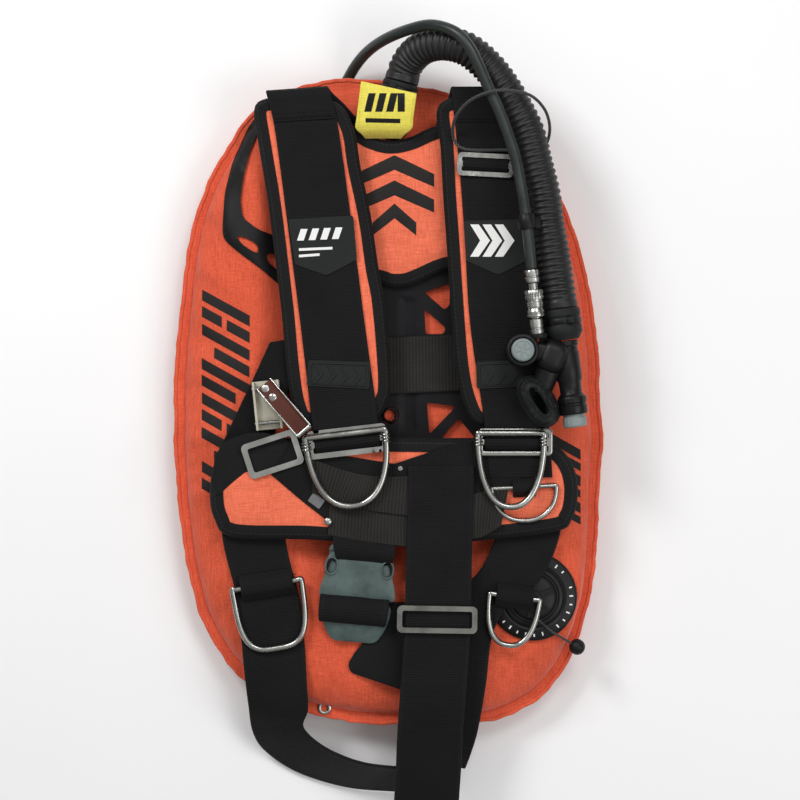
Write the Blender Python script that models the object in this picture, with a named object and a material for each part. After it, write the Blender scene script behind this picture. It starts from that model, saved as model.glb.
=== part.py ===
"""Buoyancy compensator vest: a back-inflate wing on a plate-and-webbing harness.

The vest lies on its back: +Z is the front, +Y points to the diver's head and +X is
the diver's left. Lengths below are millimetres in the vest's own layout, whose
origin is near the middle of the back pad; LAYOUT_TO_FRAME moves the whole assembly
so that the frame's origin is under the middle of the solids, on the floor.
"""

import math

import bmesh
import bpy
from mathutils import Matrix, Vector
from mathutils.bvhtree import BVHTree
from mathutils.geometry import delaunay_2d_cdt

MM = 0.001
LAYOUT_TO_FRAME = (2.5, 106.2, 0.0)

# Driving dimensions, mm
WEB_WIDTH = 50.0
WEB_THICK = 2.4
GAP = 0.4

# Wing
WING_CENTRE = (-2.5, -77.0)
WING_HALF = (170.0, 258.0)
WING_ROUND_TOP = 2.45
WING_ROUND_BOTTOM = 3.0
SEAM_Z = 22.0
FABRIC = 1.2
LOBE_TOP = 44.0
PANEL_TOP = 27.0
DIP_CENTRE = (8.0, -12.0)
DIP_HALF = (94.0, 185.0)
CHANNEL_HALF = 66.0
CHANNEL_EDGE = 88.0

# Levels of the harness above the floor
PLATE_Z = (28.6, 32.0)
BACK_PAD_Z = (32.5, 40.0)
PAD_Z = (48.3, 57.3)
LUMBAR_Z = (49.5, 58.5)
WEB_Z = 59.0
WEB_END_Z = 60.4
BELT_Z = 46.8
RING_Z = 67.8
RING_WIRE = 2.6
HOSE_Z = 78.0
HOSE_R = 13.3
LP_R = 4.4

# Dump valve
VALVE_AT = (112.0, -232.0)
VALVE_R = 34.5
VALVE_SEAT = 40.5


# ---------------------------------------------------------------- scene and materials

for old in list(bpy.data.objects):
    bpy.data.objects.remove(old, do_unlink=True)

root = bpy.data.objects.new("vest_frame", None)
bpy.context.scene.collection.objects.link(root)
root.location = Vector(LAYOUT_TO_FRAME) * MM


def finish_of(name, colour, roughness, metallic=0.0):
    made = bpy.data.materials.new(name)
    made.use_nodes = True
    shader = made.node_tree.nodes["Principled BSDF"]
    shader.inputs["Base Color"].default_value = (*colour, 1.0)
    shader.inputs["Roughness"].default_value = roughness
    shader.inputs["Metallic"].default_value = metallic
    return made


ORANGE = finish_of("orange_cordura", (0.72, 0.13, 0.045), 0.8)
BLADDER = finish_of("grey_film", (0.35, 0.36, 0.38), 0.5)
BLACK_WEB = finish_of("black_webbing", (0.012, 0.012, 0.014), 0.85)
BLACK_PLASTIC = finish_of("black_plastic", (0.015, 0.015, 0.017), 0.45)
BLACK_RUBBER = finish_of("black_rubber", (0.02, 0.02, 0.022), 0.6)
BLACK_PLATE = finish_of("black_plate", (0.018, 0.018, 0.02), 0.4, 0.6)
STEEL = finish_of("polished_steel", (0.75, 0.75, 0.74), 0.18, 1.0)
GREY_PLASTIC = finish_of("grey_plastic", (0.3, 0.34, 0.35), 0.5)
GREEN_PLASTIC = finish_of("dark_green_plastic", (0.05, 0.075, 0.07), 0.4)
YELLOW = finish_of("yellow_fabric", (0.8, 0.66, 0.05), 0.75)


# ---------------------------------------------------------------- shape helpers


def add_object(name, mesh, material, pivot=(0.0, 0.0, 0.0)):
    """Links a mesh given in layout mm, with the object's origin at pivot."""
    mesh.transform(Matrix.Scale(MM, 4) @ Matrix.Translation(-Vector(pivot)))
    mesh.materials.append(material)
    mesh.shade_smooth()
    mesh.set_sharp_from_angle(angle=math.radians(35))
    made = bpy.data.objects.new(name, mesh)
    bpy.context.scene.collection.objects.link(made)
    made.parent = root
    made.location = Vector(pivot) * MM
    return made


def mesh_of(name, points, faces):
    """A closed mesh with its faces turned outwards."""
    mesh = bpy.data.meshes.new(name)
    mesh.from_pydata([tuple(p) for p in points], [], faces)
    work = bmesh.new()
    work.from_mesh(mesh)
    bmesh.ops.recalc_face_normals(work, faces=work.faces)
    if work.calc_volume(signed=True) < 0:
        bmesh.ops.reverse_faces(work, faces=work.faces)
    work.to_mesh(mesh)
    work.free()
    return mesh


def aim(place, direction):
    """The matrix that takes +Z to direction and the origin to place."""
    turn = Vector(direction).to_track_quat("Z", "Y").to_matrix().to_4x4()
    return Matrix.Translation(Vector(place)) @ turn


def turned_mesh(name, profile, place, direction=(0, 0, 1), sides=24):
    """A profile of (radius, height) points turned about direction through place."""
    points, rings = [], []
    for radius, height in profile:
        if radius < 1e-6:
            rings.append([len(points)] * sides)
            points.append(Vector((0, 0, height)))
            continue
        rings.append(list(range(len(points), len(points) + sides)))
        for k in range(sides):
            a = 2 * math.pi * k / sides
            points.append(Vector((radius * math.cos(a), radius * math.sin(a), height)))
    faces = []
    solid = profile[0][0] < 1e-6
    pairs = list(zip(rings, rings[1:])) + ([] if solid else [(rings[-1], rings[0])])
    for low, high in pairs:
        for k in range(sides):
            m = (k + 1) % sides
            face = list(dict.fromkeys([low[k], low[m], high[m], high[k]]))
            if len(face) > 2:
                faces.append(face)
    move = aim(place, direction)
    return mesh_of(name, [move @ p for p in points], faces)


def turned(name, profile, place, material, direction=(0, 0, 1), sides=24):
    mesh = turned_mesh(name, profile, place, direction, sides)
    return add_object(name, mesh, material, place)


def box_mesh(name, centre, size, direction=(1, 0, 0), bevel=0.0):
    """A box whose length runs along direction, with its edges rounded off."""
    work = bmesh.new()
    bmesh.ops.create_cube(work, size=1.0, matrix=Matrix.Diagonal((*size, 1.0)))
    if bevel:
        bmesh.ops.bevel(work, geom=work.edges[:], offset=bevel, segments=2, profile=0.5, affect="EDGES")
    turn = Vector(direction).to_track_quat("X", "Z").to_matrix().to_4x4()
    work.transform(Matrix.Translation(Vector(centre)) @ turn)
    mesh = bpy.data.meshes.new(name)
    work.to_mesh(mesh)
    work.free()
    return mesh


def smooth_route(route, step):
    """Points about step apart on the Catmull-Rom curve through route's own points."""
    route = [Vector(p) for p in route]
    ends = [2 * route[0] - route[1], *route, 2 * route[-1] - route[-2]]
    fine = []
    for a, b, c, d in zip(ends, ends[1:], ends[2:], ends[3:]):
        for k in range(16):
            t = k / 16
            fine.append(
                b
                + 0.5 * t * (c - a)
                + 0.5 * t**2 * (2 * a - 5 * b + 4 * c - d)
                + 0.5 * t**3 * (3 * b - a - 3 * c + d)
            )
    fine.append(route[-1])
    along = [0.0]
    for p, q in zip(fine, fine[1:]):
        along.append(along[-1] + (q - p).length)
    count = max(2, round(along[-1] / step))
    spaced, k = [], 0
    for i in range(count + 1):
        at = along[-1] * i / count
        while k < len(fine) - 2 and along[k + 1] < at:
            k += 1
        share = (at - along[k]) / max(along[k + 1] - along[k], 1e-9)
        spaced.append(fine[k].lerp(fine[k + 1], min(max(share, 0.0), 1.0)))
    return spaced


def tube(name, points, radius, material, closed=False, detail=1, pivot=(0.0, 0.0, 0.0)):
    """A round wire, cord or hose along points, with filled ends."""
    curve = bpy.data.curves.new(name, "CURVE")
    curve.dimensions = "3D"
    curve.bevel_depth = radius * MM
    curve.bevel_resolution = detail
    curve.use_fill_caps = True
    spline = curve.splines.new("POLY")
    spline.points.add(len(points) - 1)
    for node, p in zip(spline.points, points):
        node.co = (*((Vector(p) - Vector(pivot)) * MM), 1.0)
    spline.use_cyclic_u = closed
    spline.use_smooth = True
    curve.materials.append(material)
    made = bpy.data.objects.new(name, curve)
    bpy.context.scene.collection.objects.link(made)
    made.parent = root
    made.location = Vector(pivot) * MM
    return made


def ribbon(name, stations, material, thick=WEB_THICK, step=None, pivot=(0.0, 0.0, 0.0)):
    """Flat webbing: each station is the pair of points on its two edges."""
    if step:
        one = [s[0] for s in stations]
        two = [s[1] for s in stations]
        middle = smooth_route([(Vector(p) + Vector(q)) / 2 for p, q in stations], step)
        count = len(middle)
        stations = list(zip(even_points(one, count), even_points(two, count)))
    points, before = [], None
    middles = [(Vector(p) + Vector(q)) / 2 for p, q in stations]
    for k, (p, q) in enumerate(stations):
        ahead = middles[min(k + 1, len(middles) - 1)] - middles[max(k - 1, 0)]
        normal = ahead.cross(Vector(q) - Vector(p)).normalized()
        if before and normal.dot(before) < 0:
            normal = -normal
        before = normal
        for edge, side in ((p, 1), (q, 1), (q, -1), (p, -1)):
            points.append(Vector(edge) + normal * side * thick / 2)
    last = len(points) - 4
    faces = [[0, 1, 2, 3], [last + 3, last + 2, last + 1, last]]
    for k in range(0, last, 4):
        for j in range(4):
            m = (j + 1) % 4
            faces.append([k + j, k + 4 + j, k + 4 + m, k + m])
    return add_object(name, mesh_of(name, points, faces), material, pivot)


def even_points(route, count):
    """count points spread evenly by spline parameter along route's curve."""
    route = [Vector(p) for p in route]
    ends = [2 * route[0] - route[1], *route, 2 * route[-1] - route[-2]]
    spread = []
    for i in range(count):
        at = (len(route) - 1) * i / (count - 1)
        k = min(int(at), len(route) - 2)
        t = at - k
        a, b, c, d = ends[k : k + 4]
        spread.append(
            0.5 * (2 * b + (c - a) * t + (2 * a - 5 * b + 4 * c - d) * t**2 + (3 * b - a - 3 * c + d) * t**3)
        )
    return spread


def inside(point, outline):
    """Whether a 2-D point is inside a closed outline."""
    odd = False
    for (x1, y1), (x2, y2) in zip(outline, outline[1:] + outline[:1]):
        if (y1 > point[1]) != (y2 > point[1]) and point[0] < (x2 - x1) * (point[1] - y1) / (y2 - y1) + x1:
            odd = not odd
    return odd


def panel_mesh(name, outline, low, high, holes=(), grid=None):
    """A sheet between the surfaces low(x, y) and high(x, y), cut to outline, with holes."""
    rings = [list(outline), *[list(h) for h in holes]]
    flat, edges = [], []
    for ring in rings:
        first = len(flat)
        flat += [Vector(p) for p in ring]
        edges += [(first + k, first + (k + 1) % len(ring)) for k in range(len(ring))]
    if grid:
        xs, ys = [p[0] for p in outline], [p[1] for p in outline]
        for i in range(1, int((max(xs) - min(xs)) / grid) + 1):
            for j in range(1, int((max(ys) - min(ys)) / grid) + 1):
                spot = (min(xs) + i * grid, min(ys) + j * grid)
                if inside(spot, rings[0]) and not any(inside(spot, h) for h in rings[1:]):
                    flat.append(Vector(spot))
    spots, _, tris, *_ = delaunay_2d_cdt(flat, edges, [], 0, 0.01)
    kept = []
    for tri in tris:
        middle = sum((spots[i] for i in tri), Vector((0, 0))) / len(tri)
        if inside(middle, rings[0]) and not any(inside(middle, h) for h in rings[1:]):
            kept.append(list(tri))
    count = len(spots)
    points = [(s.x, s.y, high(s.x, s.y)) for s in spots] + [(s.x, s.y, low(s.x, s.y)) for s in spots]
    faces = [t for t in kept] + [[i + count for i in reversed(t)] for t in kept]
    seen = {}
    for t in kept:
        for a, b in zip(t, t[1:] + t[:1]):
            seen[(a, b)] = True
    for a, b in list(seen):
        if (b, a) not in seen:
            faces.append([b, a, a + count, b + count])
    used = sorted({i for f in faces for i in f})
    index = {old: new for new, old in enumerate(used)}
    return mesh_of(name, [points[i] for i in used], [[index[i] for i in f] for f in faces])


def slab(name, outline, z_range, material, holes=()):
    mesh = panel_mesh(name, outline, lambda x, y: z_range[0], lambda x, y: z_range[1], holes)
    return add_object(name, mesh, material)


def join(base, *others, cut=False):
    """Unites base with other meshes, or cuts them out of it, by Boolean modifiers."""
    for k, mesh in enumerate(others):
        mesh.transform(Matrix.Scale(MM, 4) @ Matrix.Translation(-Vector(base.location) / MM))
        tool = bpy.data.objects.new(f"{base.name}_tool_{k}_{int(cut)}", mesh)
        bpy.context.scene.collection.objects.link(tool)
        tool.parent = root
        tool.location = base.location
        tool.hide_render = True
        tool.display_type = "WIRE"
        step = base.modifiers.new(f"shape_{k}_{int(cut)}", "BOOLEAN")
        step.operation = "DIFFERENCE" if cut else "UNION"
        step.solver = "EXACT"
        step.object = tool
    return base


def turned_about(centre, angle, points):
    """2-D points turned by angle degrees and moved to centre."""
    c, s = math.cos(math.radians(angle)), math.sin(math.radians(angle))
    return [(centre[0] + c * x - s * y, centre[1] + s * x + c * y) for x, y in points]


def rounded(half_x, half_y, radius, steps=3):
    """A rounded rectangle about the origin."""
    outline = []
    for sx, sy, start in ((1, 1, 0), (-1, 1, 90), (-1, -1, 180), (1, -1, 270)):
        for k in range(steps + 1):
            a = math.radians(start + 90 * k / steps)
            outline.append(
                (sx * (half_x - radius) + radius * math.cos(a), sy * (half_y - radius) + radius * math.sin(a))
            )
    return outline


def oval(half_x, half_y, count=20, power=2.0):
    """A superellipse about the origin."""
    outline = []
    for k in range(count):
        a = 2 * math.pi * k / count
        c, s = math.cos(a), math.sin(a)
        outline.append(
            (
                half_x * math.copysign(abs(c) ** (2 / power), c),
                half_y * math.copysign(abs(s) ** (2 / power), s),
            )
        )
    return outline


def d_shape(half, depth, power=2.3, count=18):
    """A D: its straight bar on the x axis and its bow reaching to -depth."""
    bow = []
    for k in range(count + 1):
        a = math.pi + math.pi * k / count
        c, s = math.cos(a), math.sin(a)
        bow.append((half * math.copysign(abs(c) ** (2 / power), c), -depth * abs(s) ** (2 / power)))
    return bow


def lifted(points, z):
    return [(x, y, z) for x, y in points]


def blend(low, high, at):
    """0 below low, 1 above high, smooth between."""
    t = min(max((at - low) / (high - low), 0.0), 1.0)
    return t * t * (3 - 2 * t)


# ---------------------------------------------------------------- wing


def wing_point(share, angle):
    """The layout point at a share of the way out to the wing's rim."""
    c, s = math.cos(angle), math.sin(angle)
    power = WING_ROUND_TOP if s > 0 else WING_ROUND_BOTTOM
    return (
        WING_CENTRE[0] + share * WING_HALF[0] * math.copysign(abs(c) ** (2 / power), c),
        WING_CENTRE[1] + share * WING_HALF[1] * math.copysign(abs(s) ** (2 / power), s),
    )


def rim_share(x, y):
    u, v = (x - WING_CENTRE[0]) / WING_HALF[0], (y - WING_CENTRE[1]) / WING_HALF[1]
    power = WING_ROUND_TOP if v > 0 else WING_ROUND_BOTTOM
    return (abs(u) ** power + abs(v) ** power) ** (1 / power)


def swell(x, y):
    """How full the wing is: 1 inside, 0 at the rim."""
    return math.sqrt(max(0.0, 1 - rim_share(x, y) ** 6))


def wing_front(x, y):
    reach = (
        abs((x - DIP_CENTRE[0]) / DIP_HALF[0]) ** 4 + abs((y - DIP_CENTRE[1]) / DIP_HALF[1]) ** 4
    ) ** 0.25
    dip = 1 - blend(0.95, 1.25, reach)
    rim = SEAM_Z + FABRIC + 0.2
    fullness = swell(x, y)
    top = rim + fullness * ((LOBE_TOP - rim) * (1 - dip) + (PANEL_TOP - rim) * dip)
    seat = 1 - blend(VALVE_R + 3, VALVE_R + 14, math.hypot(x - VALVE_AT[0], y - VALVE_AT[1]))
    firm = seat * min(1.0, fullness * 3)
    return top * (1 - firm) + VALVE_SEAT * firm


def wing_back(x, y):
    channel = (1 - blend(CHANNEL_HALF, CHANNEL_EDGE, abs(x))) * blend(-235, -200, y)
    rim = SEAM_Z - FABRIC - 0.2
    return max(0.0, rim - (rim + 0.8) * swell(x, y) * (1 - channel))


WING_SHARES = (0.2, 0.38, 0.52, 0.62, 0.71, 0.79, 0.86, 0.92, 0.965, 1.0)
WING_SEGMENTS = 44


def wing_layer(name, low, high, shares, material):
    """A closed layer of the wing between two surfaces, on the shared polar grid."""
    spots = [WING_CENTRE]
    for share in shares:
        spots += [wing_point(share, 2 * math.pi * k / WING_SEGMENTS) for k in range(WING_SEGMENTS)]
    count, n = len(spots), WING_SEGMENTS
    points = [(x, y, high(x, y)) for x, y in spots] + [(x, y, low(x, y)) for x, y in spots]
    faces = []
    for k in range(n):
        m = (k + 1) % n
        surface = [[0, 1 + k, 1 + m]]
        for ring in range(len(shares) - 1):
            a, b = 1 + ring * n, 1 + (ring + 1) * n
            surface += [[a + k, b + k, b + m], [a + k, b + m, a + m]]
        faces += surface + [[count + i for i in reversed(tri)] for tri in surface]
        a = 1 + (len(shares) - 1) * n
        faces.append([a + k, count + a + k, count + a + m, a + m])
    return add_object(name, mesh_of(name, points, faces), material)


front_shell = wing_layer(
    "wing_front_shell", lambda x, y: wing_front(x, y) - FABRIC, wing_front, WING_SHARES, ORANGE
)
wing_layer("wing_back_shell", wing_back, lambda x, y: wing_back(x, y) + FABRIC, WING_SHARES, ORANGE)
wing_layer(
    "wing_bladder",
    lambda x, y: wing_back(x, y) + FABRIC + GAP,
    lambda x, y: wing_front(x, y) - FABRIC - GAP,
    WING_SHARES[:-2],
    BLADDER,
)

shell_tree = BVHTree.FromPolygons(
    [v.co / MM for v in front_shell.data.vertices], [tuple(f.vertices) for f in front_shell.data.polygons]
)


def on_wing(x, y):
    """The height of the front shell's own facets at a layout point."""
    return shell_tree.ray_cast(Vector((x, y, 200)), Vector((0, 0, -1)))[0].z


YOKE_LEFT = [
    [
        (-110, 132), (-123, 110), (-131, 86), (-133, 60), (-131, 47), (-108, 28), (-84, 10),
        (-76, 18), (-80, 70), (-88, 120), (-97, 138),
    ],
    [(-103, 127), (-112, 108), (-118, 79), (-115, 62), (-92, 50), (-88, 62), (-94, 110)],
    [(-122, 51), (-103, 43), (-105, 36)],
    [(-98, 40), (-88, 35), (-88, 24), (-97, 33)],
]  # fmt: skip
YOKE_RIGHT = [
    [(104, 130), (118, 108), (126, 86), (127, 60), (125, 47), (112, 34), (100, 26), (99, 132)],
    [(106, 116), (112, 100), (117, 78), (115, 62), (106, 56)],
]
YOKE_LIFT = 2.1
YOKE_THICK = 1.6
for side, rings in (("left", YOKE_LEFT), ("right", YOKE_RIGHT)):
    yoke = panel_mesh(
        f"yoke_panel_{side}",
        rings[0],
        lambda x, y: on_wing(x, y) + YOKE_LIFT,
        lambda x, y: on_wing(x, y) + YOKE_LIFT + YOKE_THICK,
        rings[1:],
        grid=11,
    )
    add_object(f"yoke_panel_{side}", yoke, BLACK_PLASTIC)


# ---------------------------------------------------------------- elbow and tab

ELBOW_AT = (2.0, 142.0, 27.6)
ELBOW_ARM_Z = 41.0
CUFF_DIR = Vector((4.0, 15.0, 1.5)).normalized()
CUFF_AT = Vector((5.4, 158.4, ELBOW_ARM_Z))
elbow = turned(
    "elbow",
    [(0, 0), (14.5, 0), (14.5, 3.6), (11.0, 3.6), (11.0, 15), (8, 20), (0, 21)],
    ELBOW_AT,
    BLACK_PLASTIC,
)
arm_start = CUFF_AT - CUFF_DIR * 16
join(elbow, turned_mesh("elbow_arm", [(0, 0), (8.6, 0), (8.6, 15.6), (0, 15.6)], arm_start, CUFF_DIR, 20))
CUFF_PROFILE = [
    (0, 0), (13.6, 0), (14.2, 1), (14.2, 4), (13.4, 4.4), (13.4, 8), (14.2, 8.4), (14.2, 12),
    (13.6, 13), (0, 13),
]  # fmt: skip
turned("hose_cuff_upper", CUFF_PROFILE, CUFF_AT, BLACK_RUBBER, CUFF_DIR)

TAB_PROFILE = [
    (127.5, 41.2), (130, 47), (134, 51.5), (142, 54.5), (152, 56.5), (160, 58), (168, 58.6), (172, 57.5),
]  # fmt: skip
ribbon("label_tab", [((-26, y, z), (18, y, z)) for y, z in TAB_PROFILE], YELLOW, thick=1.2)


# ---------------------------------------------------------------- plate and pads

PLATE = [
    (-68, 146), (-14, 146), (-14, 122), (18, 122), (18, 146), (88, 146), (97, 134), (92, 60), (84, -60),
    (78, -146), (64, -160), (-44, -160), (-58, -146), (-64, -60), (-72, 60), (-77, 134),
]  # fmt: skip
PLATE_HOLES = [
    [(-73.5, 136), (-18.5, 136), (-18.5, 142), (-73.5, 142)],
    [(38, 136), (93, 136), (93, 142), (38, 142)],
    [(28, 7), (47, 14), (47, -2), (43, -4)],
    [(27, -8), (43, -10), (46, -22)],
    [(29, -80), (52, -84), (31, -104)],
    [(40, -107), (54, -91), (67, -107)],
    [(-14, -152), (44, -152), (44, -144), (-14, -144)],
    turned_about((10, 70), 0, oval(7.4, 7.4, 14)),
    turned_about((0, -90), 0, oval(7.4, 7.4, 14)),
]
slab("backplate", PLATE, PLATE_Z, BLACK_PLATE, PLATE_HOLES)
for name, spot in (("plate_screw_upper", (10, 70)), ("plate_screw_lower", (0, -90))):
    turned(
        name,
        [(0, 0), (6.6, 0), (6.6, 2.6), (5.8, 3.1), (2.2, 3.1), (2.2, 1.8), (0, 1.8)],
        (*spot, PLATE_Z[0] + 0.2),
        STEEL,
        sides=14,
    )
BACK_PAD = [
    (-56, 22), (-7, 14), (1, 10), (24, 15), (46, 25), (76, 26), (80, 116), (66, 131), (40, 134),
    (16, 126), (2, 124), (-14, 128), (-30, 134), (-52, 131), (-62, 112),
]  # fmt: skip
slab("back_pad", BACK_PAD, BACK_PAD_Z, ORANGE)
ribbon("plate_webbing", [((-62, -30, 34.2), (-62, -74, 34.2)), ((80, -26, 34.2), (80, -70, 34.2))], BLACK_WEB)
LUMBAR = [
    (-139, -150), (-135, -124), (-122, -110), (0, -108), (122, -112), (140, -124), (145, -150), (140, -171),
    (124, -180), (44, -189), (0, -191), (-60, -184), (-124, -181), (-136, -170),
]  # fmt: skip
slab("lumbar_pad", LUMBAR, LUMBAR_Z, ORANGE)
PAD_LEFT = [
    (-104, 148), (-101, 123), (-94, 78), (-89, 39), (-83, -12), (-80, -51), (-74, -85), (-64, -98),
    (-10, -92),
    (-1, -80), (1, -60), (-5, -4), (-10, 24), (-16, 65), (-24, 103), (-30, 135), (-42, 154), (-95, 155),
]  # fmt: skip
PAD_RIGHT = [
    (38, 146), (41, 100), (45, 40), (49, -12), (52, -53), (58, -79), (68, -98), (116, -98), (124, -85),
    (126, -50), (122, 0), (116, 60), (110, 120), (104, 148), (92, 156), (48, 156),
]  # fmt: skip
slab("shoulder_pad_left", PAD_LEFT, PAD_Z, ORANGE)
slab("shoulder_pad_right", PAD_RIGHT, PAD_Z, ORANGE)


# ---------------------------------------------------------------- shoulder webbing

WEB_LEFT = [
    ((-71, 139, 29.4), (-21, 139, 29.4)), ((-74, 141, 36), (-24, 141, 36)), ((-84, 152, 43), (-35, 153, 43)),
    ((-94, 163, 47), (-45, 165, 47)), ((-97, 167, 53.5), (-48, 169, 53.5)),
    ((-95, 161, WEB_Z), (-46, 163, WEB_Z)),
    ((-89, 130, WEB_Z), (-39, 130, WEB_Z)), ((-77, 39, WEB_Z), (-27, 39, WEB_Z)),
    ((-69, -23, WEB_Z), (-19, -23, WEB_Z)), ((-62, -84, WEB_Z), (-11, -80, WEB_Z)),
    ((-60, -104, WEB_END_Z), (-9, -100, WEB_END_Z)), ((-59, -121, WEB_END_Z), (-8, -119, WEB_END_Z)),
]  # fmt: skip
WEB_RIGHT = [
    ((40, 139, 29.4), (91, 139, 29.4)), ((41, 141, 36), (91, 141, 36)), ((43, 152, 43), (94, 152, 43)),
    ((46, 164, 47), (97, 164, 47)), ((47, 168, 53.5), (98, 168, 53.5)), ((48, 162, WEB_Z), (98, 162, WEB_Z)),
    ((54, 101, WEB_Z), (104, 101, WEB_Z)), ((58, 47, WEB_Z), (108, 47, WEB_Z)),
    ((62, -17, WEB_Z), (112, -17, WEB_Z)),
    ((71, -80, WEB_Z), (121, -80, WEB_Z)), ((74, -104, WEB_END_Z), (124, -104, WEB_END_Z)),
    ((76, -138, WEB_END_Z), (126, -138, WEB_END_Z)),
]  # fmt: skip
ribbon("shoulder_webbing_left", WEB_LEFT, BLACK_WEB)
ribbon("shoulder_webbing_right", WEB_RIGHT, BLACK_WEB)


def slide(name, centre, angle, half_x, half_y, z_range, bar, middle_bar, material=STEEL):
    """A flat webbing slide: a frame with one slot, or two with a middle bar."""
    half_slot = half_y - bar
    slots = [rounded(half_x - bar, half_slot, 1.2, 1)]
    if middle_bar:
        reach = (half_slot - bar / 2) / 2
        slots = [
            [(x, y + side * (bar / 2 + reach)) for x, y in rounded(half_x - bar, reach, 1.0, 1)]
            for side in (1, -1)
        ]
    outline = turned_about(centre, angle, rounded(half_x, half_y, 3.5))
    holes = [turned_about(centre, angle, slot) for slot in slots]
    mesh = panel_mesh(name, outline, lambda x, y: z_range[0], lambda x, y: z_range[1], holes)
    return add_object(name, mesh, material, (*centre, z_range[0]))


SLIDE_Z = (WEB_END_Z + WEB_THICK / 2 + 0.5, WEB_END_Z + WEB_THICK / 2 + 3.2)
slide("triglide_left", (-33, -110), 6.6, 31, 11, SLIDE_Z, 4.2, True)
slide("triglide_right", (97, -110.5), 0, 29, 11, SLIDE_Z, 4.2, True)
slide("upper_slide", (74, 104), -3, 22, 9, (WEB_Z + 1.7, WEB_Z + 4.2), 3.6, True)


def d_ring(name, bar_middle, angle, half, depth, wire=RING_WIRE, power=2.3):
    """A wire D-ring with its origin on the middle of its bar."""
    outline = turned_about(bar_middle[:2], angle, d_shape(half, depth, power))
    return tube(name, lifted(outline, bar_middle[2]), wire, STEEL, closed=True, pivot=bar_middle)


d_ring("d_ring_left", (-34.5, -104, RING_Z), 6.6, 31, 56)
d_ring("d_ring_right", (93.5, -103.5, RING_Z), 0, 25.5, 57)


# ---------------------------------------------------------------- waist and crotch

BELT_LEFT = [
    ((-134, -160, BELT_Z), (-84, -164, BELT_Z)), ((-130, -192, BELT_Z), (-80, -196, BELT_Z)),
    ((-121, -228, BELT_Z), (-71, -232, BELT_Z)), ((-117, -258, BELT_Z), (-67, -264, BELT_Z)),
    ((-114, -290, BELT_Z), (-65, -298, BELT_Z)), ((-111, -318, 42), (-64, -320, 46)),
    ((-109, -340, 24), (-68, -334, 40)), ((-100, -358, 8), (-58, -346, 38)),
    ((-74, -376, 3), (-40, -356, 40)), ((-34, -388, 3), (-16, -363, 43)), ((14, -392, 3), (16, -366, 44)),
]  # fmt: skip
BELT_RIGHT = [
    ((84, -162, BELT_Z), (134, -162, BELT_Z)), ((82, -186, BELT_Z + 1), (132, -186, BELT_Z + 1)),
    ((70, -216, 51), (118, -222, 51)), ((48, -236, 51), (97, -244, 51)), ((32, -262, 50), (82, -266, 50)),
    ((25, -296, 48), (75, -300, 48)), ((22, -330, 43), (69, -336, 43)), ((22, -350, 32), (64, -356, 32)),
    ((24, -364, 19), (60, -370, 19)),
]  # fmt: skip
ribbon("waist_belt_left", BELT_LEFT, BLACK_WEB, step=22)
ribbon("waist_belt_right", BELT_RIGHT, BLACK_WEB, step=22)
ribbon("hip_strap_left", [((-104, -40, BELT_Z), (-66, -28, BELT_Z)),
       ((-122, -84, BELT_Z), (-76, -66, BELT_Z)),
                          ((-134, -128, BELT_Z), (-86, -112, BELT_Z))], BLACK_WEB)  # fmt: skip
WRAP_Z = LUMBAR_Z[1] + 2.0
ribbon(
    "belt_wrap",
    [
        ((-64, -124, WRAP_Z), (-62, -174, WRAP_Z)), ((12, -136, WRAP_Z), (8, -186, WRAP_Z)),
        ((64, -149, WRAP_Z), (58, -182, WRAP_Z)), ((75, -152, WRAP_Z), (71, -180, WRAP_Z)),
    ],  # fmt: skip
    BLACK_WEB,
)
CROTCH_Z = WRAP_Z + 3.2
CROTCH = [(39.5, -129.5, CROTCH_Z - 3.6), (39.5, -131, CROTCH_Z - 0.4), (39.5, -136, CROTCH_Z),
          (38, -200, CROTCH_Z), (36.5, -260, CROTCH_Z - 1), (33, -310, CROTCH_Z - 4), (31, -340, 55),
          (30, -366, 49), (29, -384, 44), (28.5, -393, 41)]  # fmt: skip
ribbon(
    "crotch_strap",
    [((x - 25.5, y, z), (x + 25.5, y, z)) for x, y, z in CROTCH],
    BLACK_WEB,
)
slide("crotch_triglide", (36.5, -247.5), -1, 31, 10.5, (CROTCH_Z + 1.8, CROTCH_Z + 4.6), 4, False)
d_ring("hip_ring_left", (-96, -222, BELT_Z + 4.4), 9, 27, 50, 2.4, 3.4)
d_ring("hip_ring_right", (97, -231, 55.6), -8, 19.5, 38, 2.2, 2.4)
d_ring("bail_ring", (104, -145.5, 60.9), 3, 25, 26, 1.9, 2.2)
slide("square_slide", (-91, -120), 18, 22, 14, (LUMBAR_Z[1] + 0.6, LUMBAR_Z[1] + 4.4), 4, False)

# Lever buckle, open: its frame beside the shoulder pad and its lever raised
LEVER_PIVOT = (-97.0, -66.0, 65.0)
frame = add_object(
    "waist_buckle_frame",
    box_mesh("waist_buckle_frame", (-95, -82, 55.5), (38, 21, 14), (0.1, -1, 0), 1.0),
    STEEL,
)
join(
    frame,
    box_mesh("frame_channel", (-95, -84, 61), (40, 16, 10), (0.1, -1, 0)),
    cut=True,
)
LEVER_RUN = Vector((33.0, -38.0, 12.0))
lever_side = Vector((38.0, 33.0, 0.0)).normalized() * 6.5
ribbon(
    "waist_buckle_lever",
    [
        (Vector(LEVER_PIVOT) + LEVER_RUN * t - lever_side, Vector(LEVER_PIVOT) + LEVER_RUN * t + lever_side)
        for t in (0.0, 0.5, 1.0)
    ],
    STEEL,
    thick=3.0,
    pivot=LEVER_PIVOT,
)

# Side-release buckle: local +y points up the vest, tilted a little
BUCKLE_AT = (-24.0, -212.0)
BUCKLE_TILT = -5.0
BUCKLE_Z = (46.0, 58.0)


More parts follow.
